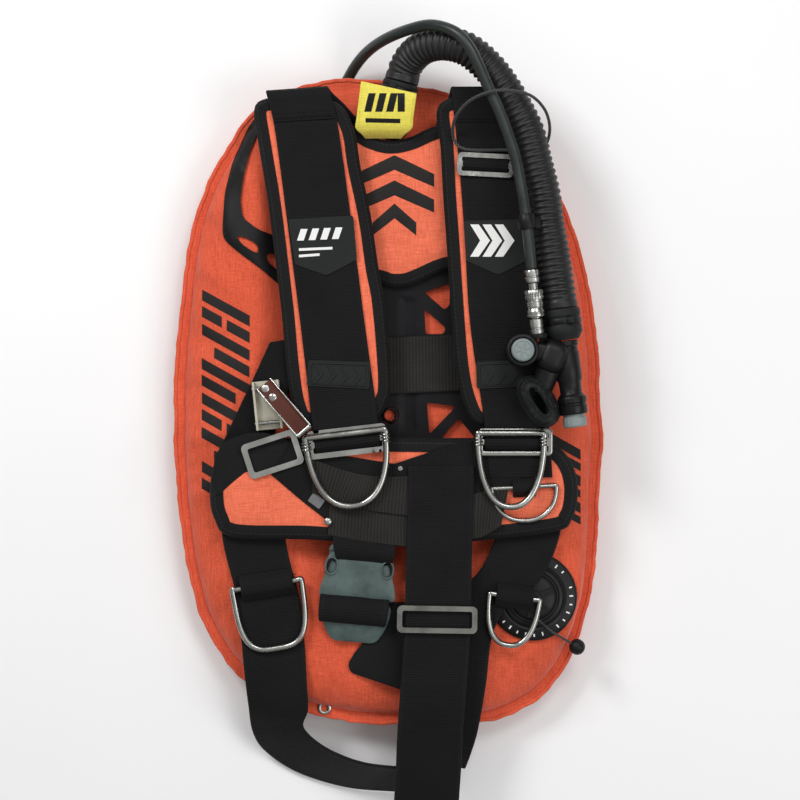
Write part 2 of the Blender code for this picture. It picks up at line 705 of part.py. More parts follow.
def buckle_box(name, centre, size, bevel=0.0):
    (x, y) = turned_about(BUCKLE_AT, BUCKLE_TILT, [centre[:2]])[0]
    turn = (math.cos(math.radians(BUCKLE_TILT)), math.sin(math.radians(BUCKLE_TILT)), 0)
    return box_mesh(name, (x, y, centre[2]), size, turn, bevel)


BUCKLE_MID = sum(BUCKLE_Z) / 2
female = add_object(
    "side_release_female",
    buckle_box("side_release_female", (0, 0, BUCKLE_MID), (60, 44, 12), 2.5),
    GREEN_PLASTIC,
)
join(
    female,
    buckle_box("female_mouth", (0, -8, BUCKLE_MID), (50, 36, 7.0)),
    buckle_box("female_window_a", (-29, 4, BUCKLE_MID), (14, 17, 7.0)),
    buckle_box("female_window_b", (29, 4, BUCKLE_MID), (14, 17, 7.0)),
    cut=True,
)
male = add_object(
    "side_release_male",
    buckle_box("side_release_male", (0, -39.5, BUCKLE_MID), (58, 32, 11), 2.5),
    GREEN_PLASTIC,
)
join(
    male,
    buckle_box("prong_left", (-18, -9, BUCKLE_MID), (9, 34, 5.6)),
    buckle_box("prong_right", (18, -9, BUCKLE_MID), (9, 34, 5.6)),
    buckle_box("guide", (0, -12, BUCKLE_MID), (5, 28, 5.6)),
)
join(male, buckle_box("male_slot", (0, -44, BUCKLE_MID), (50, 5, 14)), cut=True)


# ---------------------------------------------------------------- hoses

INFLATOR_DIR = Vector((0.125, -1.0, 0.0)).normalized()
LOWER_CUFF_AT = Vector((131.05, -8.1, HOSE_Z))
HOSE_ROUTE = [
    CUFF_AT + CUFF_DIR * 17, (11.6, 181, 44), (17.5, 190, 50), (28, 196, 61), (43, 196.5, 72),
    (59, 191, HOSE_Z), (74, 179, HOSE_Z),
    (86, 164, HOSE_Z), (97, 146, HOSE_Z), (106, 127, HOSE_Z), (112, 104, HOSE_Z), (118, 80, HOSE_Z),
    (121, 57, HOSE_Z), (124, 41, HOSE_Z), (127.2, 20, HOSE_Z), (129.3, 6, HOSE_Z),
    LOWER_CUFF_AT - INFLATOR_DIR * 4,
]  # fmt: skip
hose_points = [CUFF_AT + CUFF_DIR * 13.5, *smooth_route(HOSE_ROUTE, 15), LOWER_CUFF_AT - INFLATOR_DIR * 0.5]
tube("corrugated_hose", hose_points, HOSE_R, BLACK_RUBBER, detail=3)
turned(
    "hose_cuff_lower",
    [
        (0, 0), (14.0, 0), (14.6, 1.5), (14.6, 6), (13.8, 6.5), (13.8, 13), (14.6, 13.5), (14.6, 19),
        (11.5, 24), (0, 24),
    ],  # fmt: skip
    LOWER_CUFF_AT,
    BLACK_RUBBER,
    INFLATOR_DIR,
)

# Inflator: main tube, valve housing and the block between them
BODY_AT = LOWER_CUFF_AT + INFLATOR_DIR * 24.6
BODY_LONG = 57.0
HOUSING_AT = (101.0, -40.0, 66.0)
inflator = turned(
    "inflator_body",
    [
        (0, 0), (10.0, 0), (10.0, 42), (10.6, 44), (10.6, BODY_LONG), (8.7, BODY_LONG), (8.7, BODY_LONG - 10),
        (0, BODY_LONG - 10),
    ],  # fmt: skip
    BODY_AT,
    BLACK_PLASTIC,
    INFLATOR_DIR,
)
join(
    inflator,
    box_mesh("inflator_block", (124.2, -46.5, HOSE_Z + 5), (26, 24, 28), (1, 0, 0), 3.0),
    box_mesh("inflator_neck", (114, -35.5, HOSE_Z + 8), (6, 12, 20), (1, 0, 0), 1.0),
    turned_mesh(
        "valve_housing",
        [(0, 0), (11.5, 0), (12.7, 3), (12.7, 30), (9.3, 30), (9.3, 22.5), (0, 22.5)],
        HOUSING_AT,
    ),
)
turned(
    "inflate_button",
    [(0, 0), (8.8, 0), (8.8, 6.0), (7.8, 7.2), (0, 7.6)],
    (HOUSING_AT[0], HOUSING_AT[1], HOUSING_AT[2] + 26.5),
    GREY_PLASTIC,
)
turned(
    "deflate_button",
    [(0, 0), (8.3, 0), (8.3, 13.5), (7.0, 15.0), (0, 15.4)],
    BODY_AT + INFLATOR_DIR * (BODY_LONG - 5.4),
    GREY_PLASTIC,
    INFLATOR_DIR,
)
mouth = turned_about((111.5, -79.5), -22, oval(14.0, 18.5, 24, 2.2))
mouth_slot = turned_about((111.5, -80), -22, oval(5.0, 11.0, 12, 2.6))
add_object(
    "mouthpiece",
    panel_mesh("mouthpiece", mouth, lambda x, y: 70.0, lambda x, y: 88.0, [mouth_slot]),
    BLACK_RUBBER,
    (112, -79, 79),
)

# Quick-disconnect coupling between the inflator and the low-pressure hose
QD_AT = Vector((112.6, -27.8, HOSE_Z + 12))
QD_DIR = Vector((-4.8, 48.0, 3.0)).normalized()
turned("qd_nipple", [(0, 0), (5.6, 0), (5.6, 12), (4.0, 12), (4.0, 23), (0, 23)], QD_AT, STEEL, QD_DIR, 12)
turned(
    "qd_sleeve",
    [
        (4.4, 13), (6.9, 13), (7.3, 14), (7.3, 18), (6.5, 19), (6.5, 26), (7.3, 27), (7.3, 33),
        (6.9, 34), (4.4, 34),
    ],  # fmt: skip
    QD_AT,
    STEEL,
    QD_DIR,
    20,
)
STEM_PROFILE = [(0, 23.5), (3.9, 23.5), (3.9, 39), (6.0, 40), (6.0, 49), (0, 49)]
turned("qd_stem", STEM_PROFILE, QD_AT, STEEL, QD_DIR, 16)
LP_EXIT = QD_AT + QD_DIR * 49.4
LP_ROUTE = [
    LP_EXIT, (106.4, 36, 94), (103.8, 60, 93.5), (100, 85, 93), (95.5, 107, 93), (90, 124, 94), (83, 142, 95),
    (75, 159, 96), (67.5, 176, 97.5), (59.5, 191, 97.5), (49, 202, 94), (31, 209, 82), (11, 207, 66),
    (-7, 202, 47), (-21, 194, 28), (-32, 181, 13), (-40, 163, 6), (-44, 140, 5), (-44, 105, 5), (-44, 70, 5),
    (-44, 30, 5), (-44, -10, 5), (-44, -50, 5), (-44, -90, 5), (-44, -118, 6.5), (-44, -138, 8.6),
    (-44, -148, 8.6),
]  # fmt: skip
tube("lp_hose", smooth_route(LP_ROUTE, 13), LP_R, BLACK_RUBBER, detail=2)
turned(
    "lp_fitting",
    [(0, 0), (5.4, 0), (5.4, 12), (8.0, 12.5), (8.0, 20), (4.4, 20.5), (4.4, 28), (0, 28)],
    (-44, -148.5, 8.6),
    STEEL,
    (0, -1, 0),
    12,
)
KEEPER_AT = Vector((104.1, 57.5, 93.55))
KEEPER_DIR = Vector((-3.2, 24, -0.5)).normalized()
KEEPER_LONG = 11.0
turned(
    "hose_keeper",
    [(5.0, 0), (6.7, 0), (6.7, KEEPER_LONG), (5.0, KEEPER_LONG)],
    KEEPER_AT - KEEPER_DIR * KEEPER_LONG / 2,
    BLACK_PLASTIC,
    KEEPER_DIR,
    16,
)
BUNGEE = [
    (49, 126, 63), (50, 138, 74), (60, 149, 91), (76, 155, 103), (92, 156, 101), (108, 153, 93),
    (119, 143, 84), (123, 130, 74), (120, 119, 65), (110, 115.5, 62.6), (88, 115.5, 62.6), (64, 115.5, 62.6),
    (54, 118, 62.6),
]  # fmt: skip
bungee_points = smooth_route([*BUNGEE, BUNGEE[0]], 7)[:-1]
tube("bungee_loop", bungee_points, 1.7, BLACK_RUBBER, closed=True)


# ---------------------------------------------------------------- dump valve

VALVE_FLOOR = VALVE_SEAT + 0.5
POPPET_LIFT = 1.5
turned(
    "dump_valve_body",
    [
        (0, 4.2), (20, 4.2), (20, 0), (VALVE_R, 0), (VALVE_R, 3), (VALVE_R - 2.5, 5.2), (23, 5.6),
        (17, 7.4), (0, 8),
    ],  # fmt: skip
    (*VALVE_AT, VALVE_FLOOR),
    BLACK_PLASTIC,
    sides=32,
)
turned(
    "dump_poppet",
    [(0, 0), (18, 0), (18, 1.8), (0, 1.8)],
    (*VALVE_AT, VALVE_FLOOR + 0.6),
    BLACK_RUBBER,
)
BALL_AT = Vector((147.0, -272.0, 37.0))
PULL_DIR = Vector((0.82, -0.52, -0.38)).normalized()
BALL_R = 6.3
ball_profile = [(0, -BALL_R)]
for k in range(1, 8):
    a = -math.pi / 2 + math.pi * k / 8
    ball_profile.append((BALL_R * math.cos(a), BALL_R * math.sin(a)))
ball = turned("dump_pull_ball", [*ball_profile, (0, BALL_R)], BALL_AT, BLACK_PLASTIC, PULL_DIR, 16)
STEM_LONG = 17.0
join(
    ball,
    turned_mesh(
        "pull_stem",
        [(0, 0), (1.3, 0), (1.3, STEM_LONG), (0, STEM_LONG)],
        BALL_AT - PULL_DIR * STEM_LONG,
        PULL_DIR,
        8,
    ),
)


# ---------------------------------------------------------------- tank side

tank_pad = panel_mesh("tank_pad", rounded(35, 52, 8), lambda x, y: 10.0, lambda x, y: 19.6)
add_object("tank_pad", tank_pad, BLACK_RUBBER)
BAND_HALF = 46.0
BAND_Z = (11.3, 18.7)
BAND_THICK = 2.2
LEVER_AXIS_X = -22.0
LEVER_AXIS_Z = 4.9


def racetrack(half, z_low, z_high, steps=5):
    """The side view of a flattened loop, as (x, z) points."""
    radius, middle = (z_high - z_low) / 2, (z_high + z_low) / 2
    loop = []
    for start, x in ((-90, half - radius), (90, radius - half)):
        for k in range(steps + 1):
            a = math.radians(start + 180 * k / steps)
            loop.append((x + radius * math.cos(a), middle + radius * math.sin(a)))
    return loop


for place, y in (("upper", 85.0), ("lower", -85.0)):
    half = BAND_THICK / 2
    outer = racetrack(BAND_HALF + half, BAND_Z[0] - half, BAND_Z[1] + half)
    inner = racetrack(BAND_HALF - half, BAND_Z[0] + half, BAND_Z[1] - half)
    n = len(outer)
    points = [(x, y + s * WEB_WIDTH / 2, z) for s in (-1, 1) for loop in (outer, inner) for x, z in loop]
    faces = []
    for k in range(n):
        m = (k + 1) % n
        faces += [
            [k, m, n + m, n + k],
            [2 * n + k, 3 * n + k, 3 * n + m, 2 * n + m],
            [k, 2 * n + k, 2 * n + m, m],
            [n + k, n + m, 3 * n + m, 3 * n + k],
        ]
    add_object(f"tank_band_{place}", mesh_of(f"tank_band_{place}", points, faces), BLACK_WEB)
    buckle = add_object(
        f"cam_buckle_{place}", box_mesh(f"cam_buckle_{place}", (7, y, 8.6), (44, 62, 2.4)), BLACK_PLASTIC
    )
    join(
        buckle,
        box_mesh("cheek_a", (1, y - 29.5, 5.6), (56, 3, 7.4)),
        box_mesh("cheek_b", (1, y + 29.5, 5.6), (56, 3, 7.4)),
    )
    add_object(
        f"cam_lever_{place}",
        box_mesh(f"cam_lever_{place}", (0, y, LEVER_AXIS_Z), (50, 54, 4.2), bevel=1.0),
        BLACK_PLASTIC,
        (LEVER_AXIS_X, y, LEVER_AXIS_Z),
    )
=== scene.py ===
"""The looks of the buoyancy vest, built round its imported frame.

Lengths are millimetres in the vest's layout, as in the CAD script; at() turns them
into the frame's metres. The vest lies on its back, seen from straight above.
"""

import math

import bmesh
import bpy
import numpy as np
from mathutils import Matrix, Vector, noise
from mathutils.bvhtree import BVHTree
from mathutils.geometry import delaunay_2d_cdt


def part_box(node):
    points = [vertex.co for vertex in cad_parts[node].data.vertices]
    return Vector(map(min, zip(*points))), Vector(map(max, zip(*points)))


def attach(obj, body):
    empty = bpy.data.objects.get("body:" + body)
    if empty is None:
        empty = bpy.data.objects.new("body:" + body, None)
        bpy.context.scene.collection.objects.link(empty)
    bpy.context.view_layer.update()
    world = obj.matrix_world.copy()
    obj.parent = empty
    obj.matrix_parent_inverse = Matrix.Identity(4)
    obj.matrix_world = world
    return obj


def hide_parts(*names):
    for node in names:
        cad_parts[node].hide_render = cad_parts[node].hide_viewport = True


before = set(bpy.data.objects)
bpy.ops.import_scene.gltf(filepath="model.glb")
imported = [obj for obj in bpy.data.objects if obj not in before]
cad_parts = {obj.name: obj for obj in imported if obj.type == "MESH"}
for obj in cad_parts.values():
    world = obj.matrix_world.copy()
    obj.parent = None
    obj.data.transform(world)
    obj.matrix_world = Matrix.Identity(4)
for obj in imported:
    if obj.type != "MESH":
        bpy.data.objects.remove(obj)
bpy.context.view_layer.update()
MM = 0.001
WING_CENTRE = Vector((-2.5, -77.0, 0.0))
wing_low, wing_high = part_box("wing_back_shell")
ORIGIN = Vector(((wing_low.x + wing_high.x) / 2, (wing_low.y + wing_high.y) / 2, 0)) - WING_CENTRE * MM
VEST = "harness"


def at(x, y, z=0.0):
    """A layout point, in mm, as a frame point in metres."""
    return ORIGIN + Vector((x, y, z)) * MM


# ================================================================ materials


class Look:
    """One procedural material: short calls that add nodes and return sockets."""

    def __init__(self, name, colour, roughness, metallic=0.0, **fixed):
        self.mat = bpy.data.materials.new(name)
        self.mat.use_nodes = True
        self.nodes = self.mat.node_tree.nodes
        self.links = self.mat.node_tree.links
        self.shader = self.nodes["Principled BSDF"]
        self.set("Base Color", (*colour, 1.0))
        self.set("Roughness", roughness)
        self.set("Metallic", metallic)
        for key, value in fixed.items():
            self.set(key.replace("_", " "), value)

    def set(self, socket, value):
        if hasattr(value, "is_output"):
            self.links.new(value, self.shader.inputs[socket])
        else:
            self.shader.inputs[socket].default_value = value

    def node(self, kind, ins=None, **settings):
        made = self.nodes.new(kind)
        for key, value in settings.items():
            setattr(made, key, value)
        for key, value in (ins or {}).items():
            if hasattr(value, "is_output"):
                self.links.new(value, made.inputs[key])
            else:
                made.inputs[key].default_value = value
        return made

    def coords(self, uv=False, scale=(1, 1, 1), turn=0.0):
        source = self.node("ShaderNodeTexCoord").outputs["UV" if uv else "Object"]
        return self.node(
            "ShaderNodeMapping", {"Vector": source, "Scale": scale, "Rotation": (0, 0, math.radians(turn))}
        ).outputs[0]

    def noise(self, where, scale, detail=3.0, roughness=0.55):
        return self.node(
            "ShaderNodeTexNoise", {"Vector": where, "Scale": scale, "Detail": detail, "Roughness": roughness}
        ).outputs["Fac"]

    def wave(self, where, scale, direction):
        return self.node(
            "ShaderNodeTexWave",
            {"Vector": where, "Scale": scale, "Distortion": 0.0},
            wave_type="BANDS",
            bands_direction=direction,
        ).outputs["Fac"]

    def math(self, operation, a, b=0.0):
        made = self.node("ShaderNodeMath", operation=operation)
        for k, value in enumerate((a, b)):
            if hasattr(value, "is_output"):
                self.links.new(value, made.inputs[k])
            else:
                made.inputs[k].default_value = value
        return made.outputs[0]

    def ramp(self, value, *stops):
        made = self.node("ShaderNodeValToRGB", {"Fac": value})
        points = made.color_ramp.elements
        while len(points) < len(stops):
            points.new(0.5)
        for point, (place, colour) in zip(points, stops):
            point.position = place
            point.color = (*colour, 1.0) if isinstance(colour, tuple) else (colour, colour, colour, 1.0)
        return made.outputs["Color"]

    def mix(self, share, a, b):
        made = self.node("ShaderNodeMix", data_type="RGBA")
        for k, value in ((0, share), (6, a), (7, b)):
            if hasattr(value, "is_output"):
                self.links.new(value, made.inputs[k])
            else:
                made.inputs[k].default_value = (*value, 1.0) if isinstance(value, tuple) else value
        return made.outputs[2]

    def bump(self, height, depth_mm, under=None):
        ins = {"Height": height, "Strength": 1.0, "Distance": depth_mm * MM}
        if under is not None:
            ins["Normal"] = under
        return self.node("ShaderNodeBump", ins).outputs[0]


def cordura(name, light, dark, thread_mm=0.75):
    """Plain-woven nylon: threads both ways, slubs and a faint blotchiness."""
    look = Look(name, light, 0.78, Sheen_Weight=0.25, Sheen_Roughness=0.5)
    where = look.coords()
    pitch = 1 / (thread_mm * MM)
    warp = look.noise(look.coords(scale=(pitch, pitch * 0.07, pitch * 0.07)), 1.0, 2)
    weft = look.noise(look.coords(scale=(pitch * 0.07, pitch, pitch)), 1.0, 2)
    slub = look.math("ADD", look.math("MULTIPLY", warp, 0.5), look.math("MULTIPLY", weft, 0.5))
    blotch = look.noise(where, 14.0, 4)
    tone = look.math("ADD", look.math("MULTIPLY", slub, 0.8), look.math("MULTIPLY", blotch, 0.2))
    colour = look.ramp(tone, (0.34, dark), (0.5, light),
        (0.66, tuple(min(1, c * 1.22 + 0.02) for c in light)))
    look.set("Base Color", colour)
    grid = look.math(
        "MAXIMUM", look.wave(where, 0.5 * pitch / math.pi * 0.32, "X"),
        look.wave(where, 0.5 * pitch / math.pi * 0.32, "Y")
    )
    weave = look.bump(look.math("ADD", look.math("MULTIPLY", slub, 1.2), look.math("MULTIPLY", grid, 0.4)),
        0.16)
    look.set("Normal", look.bump(look.noise(where, 55.0, 3), 0.5, weave))
    return look.mat


def webbing(name, colour=(0.0045, 0.0045, 0.005), lift=2.4, rib_mm=1.9, half_mm=25.0):
    """Heavy nylon webbing: cross ribs, fine warp lines and a bound edge. UVs are metres."""
    look = Look(name, colour, 0.72, Sheen_Weight=0.04, Sheen_Roughness=0.45, Specular_IOR_Level=0.12)
    uv = look.coords(uv=True)
    split = look.node("ShaderNodeSeparateXYZ", {"Vector": uv})
    along, across = split.outputs[0], split.outputs[1]
    phase = look.math("MULTIPLY", across, 2 * math.pi / (2.1 * MM))
    wander = look.math("MULTIPLY", look.math("SINE", phase), 0.22)
    ribs = look.math("SINE", look.math("ADD", look.math("MULTIPLY", along, 2 * math.pi / (rib_mm * MM)),
        wander))
    lines = look.math("SINE", look.math("MULTIPLY", across, 2 * math.pi / (1.05 * MM)))
    fuzz = look.noise(look.coords(uv=True, scale=(900, 1500, 1)), 1.0, 3)
    edge = look.math("GREATER_THAN", look.math("ABSOLUTE", across), (half_mm - 2.2) * MM)
    rise = look.math("ADD", look.math("MULTIPLY", ribs, 0.34), look.math("MULTIPLY", lines, 0.2))
    rise = look.math("ADD", rise, look.math("MULTIPLY", fuzz, 0.95))
    rise = look.math("ADD", rise, look.math("MULTIPLY", edge, 0.5))
    wear = look.noise(look.coords(), 30.0, 4)
    tone = look.math("ADD", look.math("MULTIPLY", rise, 0.32), look.math("MULTIPLY", wear, 0.45))
    pale = tuple(c * lift + 0.0015 for c in colour)
    look.set("Base Color", look.ramp(tone, (0.12, colour), (0.75, pale)))
    look.set("Roughness", look.ramp(fuzz, (0.3, 0.62), (0.7, 0.82)))
    look.set("Normal", look.bump(rise, 0.28))
    return look.mat


def binding(name, colour=(0.006, 0.006, 0.0065)):
    """Narrow ribbed tape with a line of lock stitches near its inner edge."""
    look = Look(name, colour, 0.75, Sheen_Weight=0.04, Specular_IOR_Level=0.15)
    uv = look.coords(uv=True)
    split = look.node("ShaderNodeSeparateXYZ", {"Vector": uv})
    along, across = split.outputs[0], split.outputs[1]
    ribs = look.math("SINE", look.math("MULTIPLY", along, 2 * math.pi / (1.1 * MM)))
    beat = look.math("SINE", look.math("MULTIPLY", along, 2 * math.pi / (3.4 * MM)))
    near = look.math("LESS_THAN", look.math("ABSOLUTE", look.math("SUBTRACT", across, 0.0066)), 0.00042)
    stitch = look.math("MULTIPLY", near, look.math("GREATER_THAN", beat, -0.55))
    look.set("Base Color", look.mix(stitch, look.ramp(ribs, (0.0, colour), (1.0, (0.013, 0.013, 0.014))),
        (0.022, 0.022, 0.023)))
    rise = look.math("ADD", look.math("MULTIPLY", ribs, 0.25), look.math("MULTIPLY", stitch, 1.0))
    look.set("Normal", look.bump(rise, 0.3))
    return look.mat


def moulded(name, colour, roughness, grain_mm=0.5, depth_mm=0.03, wear=0.12, **fixed):
    """Moulded plastic or rubber with a fine spark grain and rubbed high spots."""
    look = Look(name, colour, roughness, **fixed)
    where = look.coords()
    grain = look.noise(where, 1 / (grain_mm * MM), 2)
    smear = look.noise(where, 42.0, 5, 0.65)
    pale = tuple(min(1.0, c * (1 + 6 * wear) + 0.03 * wear) for c in colour)
    look.set("Base Color", look.ramp(smear, (0.35, colour), (0.75, pale)))
    look.set("Roughness", look.ramp(smear, (0.3, roughness - 0.08), (0.7, min(1.0, roughness + 0.12))))
    look.set("Normal", look.bump(grain, depth_mm))
    return look.mat


def steel(name, colour=(0.44, 0.44, 0.415), roughness=0.2, brushed=False):
    """Polished stainless steel with faint draw lines, smudges and fine scratches."""
    look = Look(name, colour, roughness, 1.0, Anisotropic=0.3 if brushed else 0.0)
    where = look.coords()
    smudge = look.noise(where, 60.0, 4)
    streak = look.noise(look.coords(scale=(300, 2600, 900), turn=12), 1.0, 3)
    look.set("Roughness", look.ramp(smudge, (0.35, roughness * 0.7), (0.7, roughness * 1.9)))
    look.set("Base Color", look.ramp(smudge, (0.25, tuple(c * 0.72 for c in colour)), (0.75, colour)))
    look.set("Normal", look.bump(streak, 0.06 if brushed else 0.02))
    return look.mat


ORANGE_LIT = (0.66, 0.080, 0.024)
ORANGE_DARK = (0.49, 0.045, 0.011)
M = {
    "wing": cordura("wing_cordura", ORANGE_LIT, ORANGE_DARK),
    "pad": cordura("pad_cordura", (0.78, 0.145, 0.064), (0.60, 0.085, 0.032), 0.7),
    "web": webbing("harness_webbing"),
    "rib_web": webbing("ribbed_webbing", (0.0075, 0.007, 0.0065), 5.2, 2.6),
    "bind": binding("edge_binding"),
    "black": moulded("black_moulding", (0.004, 0.004, 0.0043), 0.42, 0.5, 0.03, 0.06,
        Specular_IOR_Level=0.25),
    "matt": moulded("matt_rubber", (0.0075, 0.0085, 0.0082), 0.6, 0.8, 0.05, 0.1, Specular_IOR_Level=0.22),
    "hose": moulded("hose_rubber", (0.007, 0.007, 0.0075), 0.45, 0.7, 0.03, Specular_IOR_Level=0.4),
    "lp": moulded("lp_hose_rubber", (0.012, 0.0165, 0.015), 0.34, 0.5, 0.02, Specular_IOR_Level=0.45),
    "yoke": moulded("yoke_rubber", (0.0065, 0.0065, 0.007), 0.55, 0.9, 0.06, 0.05, Specular_IOR_Level=0.2),
    "film": moulded("flock_film", (0.011, 0.0095, 0.009), 0.65, 0.4, 0.05, Specular_IOR_Level=0.2),
    "plate": moulded("plate_coat", (0.0035, 0.0033, 0.0045), 0.45, 0.35, 0.02, Specular_IOR_Level=0.15),
    "grey": moulded("grey_moulding", (0.19, 0.225, 0.222), 0.45, 0.6, 0.03, 0.05),
    "buckle": moulded("buckle_plastic", (0.040, 0.062, 0.058), 0.4, 0.5, 0.025, 0.2),
    "steel": steel("polished_stainless"),
    "coupling": steel("coupling_steel", (0.50, 0.505, 0.48), 0.24, True),
    "satin": steel("satin_steel", (0.24, 0.245, 0.22), 0.34, True),
    "cream": moulded("buckle_face_enamel", (0.40, 0.38, 0.30), 0.45, 0.8, 0.02, 0.06),
    "copper": moulded("lever_enamel", (0.062, 0.012, 0.005), 0.5, 0.9, 0.03, 0.08, Specular_IOR_Level=0.2),
    "white": moulded("print_white", (0.78, 0.78, 0.76), 0.6, 0.6, 0.02, 0.01),
    "silver_grey": moulded("slide_grey", (0.12, 0.12, 0.125), 0.4),
}


# ================================================================ mesh helpers


def place(name, mesh, look, body=VEST, node=(), slot=None, smooth_angle=40):
    """Links a mesh made in layout mm and ties it to its body and CAD node; its slot argument is not used."""
    mesh.name = name
    mesh.transform(Matrix.Translation(ORIGIN) @ Matrix.Scale(MM, 4))
    mesh.materials.clear()
    mesh.materials.append(M[look] if isinstance(look, str) else look)
    mesh.shade_smooth()
    if smooth_angle:
        mesh.set_sharp_from_angle(angle=math.radians(smooth_angle))
    made = bpy.data.objects.new(name, mesh)
    bpy.context.scene.collection.objects.link(made)
    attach(made, body)
    nodes = (node,) if isinstance(node, str) else tuple(node)
    if nodes:
        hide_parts(*nodes)
    return made


def mesh_of(points, faces, uvs=None):
    mesh = bpy.data.meshes.new("piece")
    mesh.from_pydata([tuple(p) for p in points], [], faces)
    if uvs is not None:
        layer = mesh.uv_layers.new(name="weave")
        for loop in mesh.loops:
            layer.data[loop.index].uv = uvs[loop.vertex_index]
    work = bmesh.new()
    work.from_mesh(mesh)
    bmesh.ops.recalc_face_normals(work, faces=work.faces)
    work.to_mesh(mesh)
    work.free()
    return mesh


def bevel(piece, width_mm, segments=2, angle=35):
    step = piece.modifiers.new("edge", "BEVEL")
    step.width = width_mm * MM
    step.segments = segments
    step.limit_method = "ANGLE"
    step.angle_limit = math.radians(angle)
    step.harden_normals = False
    return piece


def catmull(a, b, c, d, t):
    return 0.5 * (2 * b + (c - a) * t + (2 * a - 5 * b + 4 * c - d) * t**2 + (3 * b - a - 3 * c + d) * t**3)


def smooth_line(route, step, closed=False, samples=12):
    """Points about step apart on the Catmull-Rom curve through route."""
    route = [Vector(p) for p in route]
    n = len(route)
    spans = []
    for k in range(n if closed else n - 1):
        if closed:
            four = [route[(k + j - 1) % n] for j in range(4)]
        else:
            four = [
                route[k - 1] if k else 2 * route[0] - route[1],
                route[k],
                route[k + 1],
                route[k + 2] if k + 2 < n else 2 * route[-1] - route[-2],
            ]
        spans += [catmull(*four, j / samples) for j in range(samples)]
    spans.append(route[0].copy() if closed else route[-1])
    line = np.array([tuple(p) for p in spans])
    along = np.concatenate([[0], np.cumsum(np.linalg.norm(np.diff(line, axis=0), axis=1))])
    count = max(3, round(along[-1] / step))
    stops = np.linspace(0, along[-1], count + 1)
    if closed:
        stops = stops[:-1]
    return [Vector(np.array([np.interp(s, along, line[:, j]) for j in range(line.shape[1])])) for s in stops]


def sweep(line, section, closed=False, up=(0, 0, 1), scale=None):
    """Sweeps a closed section of (side, up) points along line; UVs run in metres."""
    line = [Vector(p) for p in line]
    n, m = len(line), len(section)
    points, uvs = [], []
    gone = 0.0
    around = [0.0]
    for (x1, y1), (x2, y2) in zip(section, section[1:] + section[:1]):
        around.append(around[-1] + math.hypot(x2 - x1, y2 - y1))
    for k, spot in enumerate(line):
        back = line[k - 1] if k or closed else spot
        ahead = line[(k + 1) % n] if k < n - 1 or closed else spot
        run = (ahead - back).normalized()
        lift = Vector(up[k] if isinstance(up, list) else up)
        side = run.cross(lift).normalized()
        lift = side.cross(run).normalized()
        grow = scale(k / (n - 1)) if scale else 1.0
        if k:
            gone += (spot - line[k - 1]).length
        for j, (a, b) in enumerate(section):
            points.append(spot + side * a * grow + lift * b * grow)
            uvs.append((gone * MM, around[j] * MM))
    faces = []
    for k in range(n if closed else n - 1):
        q = (k + 1) % n
        for j in range(m):
            i = (j + 1) % m
            faces.append([k * m + j, q * m + j, q * m + i, k * m + i])
    if not closed:
        faces += [list(range(m)), [(n - 1) * m + j for j in reversed(range(m))]]
    return mesh_of(points, faces, uvs)


def circle(radius, count=12):
    return [(radius * math.cos(2 * math.pi * k / count),
        radius * math.sin(2 * math.pi * k / count)) for k in range(count)]


def round_box(half_x, half_y, radius, steps=3):
    outline = []
    for sx, sy, start in ((1, 1, 0), (-1, 1, 90), (-1, -1, 180), (1, -1, 270)):
        for k in range(steps + 1):
            a = math.radians(start + 90 * k / steps)
            outline.append((sx * (half_x - radius) + radius * math.cos(a),
                sy * (half_y - radius) + radius * math.sin(a)))
    return outline


def oval(half_x, half_y, count=48, power=2.0):
    outline = []
    for k in range(count):
        a = 2 * math.pi * k / count
        c, s = math.cos(a), math.sin(a)
        outline.append((half_x * math.copysign(abs(c) ** (2 / power), c),
            half_y * math.copysign(abs(s) ** (2 / power), s)))
    return outline


def turned_about(centre, angle, points):
    c, s = math.cos(math.radians(angle)), math.sin(math.radians(angle))
    return [(centre[0] + c * x - s * y, centre[1] + s * x + c * y) for x, y in points]


def aim(spot, direction):
    turn = Vector(direction).to_track_quat("Z", "Y").to_matrix().to_4x4()
    return Matrix.Translation(Vector(spot)) @ turn


def lathe(profile, spot, direction=(0, 0, 1), sides=48, shape=None):
    """Turns (radius, height) points about direction; shape(angle, r, h) may vary the radius."""
    move = aim(spot, direction)
    points, rings = [], []
    for radius, height in profile:
        if radius < 1e-6:
            rings.append([len(points)] * sides)
            points.append(move @ Vector((0, 0, height)))
            continue
        rings.append(list(range(len(points), len(points) + sides)))
        for k in range(sides):
            a = 2 * math.pi * k / sides
            r = radius * (shape(a, radius, height) if shape else 1.0)
            points.append(move @ Vector((r * math.cos(a), r * math.sin(a), height)))
    faces = []
    pairs = list(zip(rings, rings[1:]))
    if profile[0][0] > 1e-6:
        pairs.append((rings[-1], rings[0]))
    for low, high in pairs:
        for k in range(sides):
            m = (k + 1) % sides
            face = list(dict.fromkeys([low[k], low[m], high[m], high[k]]))
            if len(face) > 2:
                faces.append(face)
    return mesh_of(points, faces)


def inside(point, outline):
    odd = False
    for (x1, y1), (x2, y2) in zip(outline, outline[1:] + outline[:1]):
        if (y1 > point[1]) != (y2 > point[1]) and point[0] < (x2 - x1) * (point[1] - y1) / (y2 - y1) + x1:
            odd = not odd
    return odd


def edge_distance(spots, outline):
    """How far each 2-D spot is from a closed outline."""
    spots, ring = np.array(spots, float), np.array(outline, float)
    best = np.full(len(spots), 1e9)
    for a, b in zip(ring, np.roll(ring, -1, 0)):
        run = b - a
        t = np.clip(((spots - a) @ run) / max(run @ run, 1e-9), 0, 1)
        best = np.minimum(best, np.linalg.norm(spots - a - t[:, None] * run, axis=1))
    return best


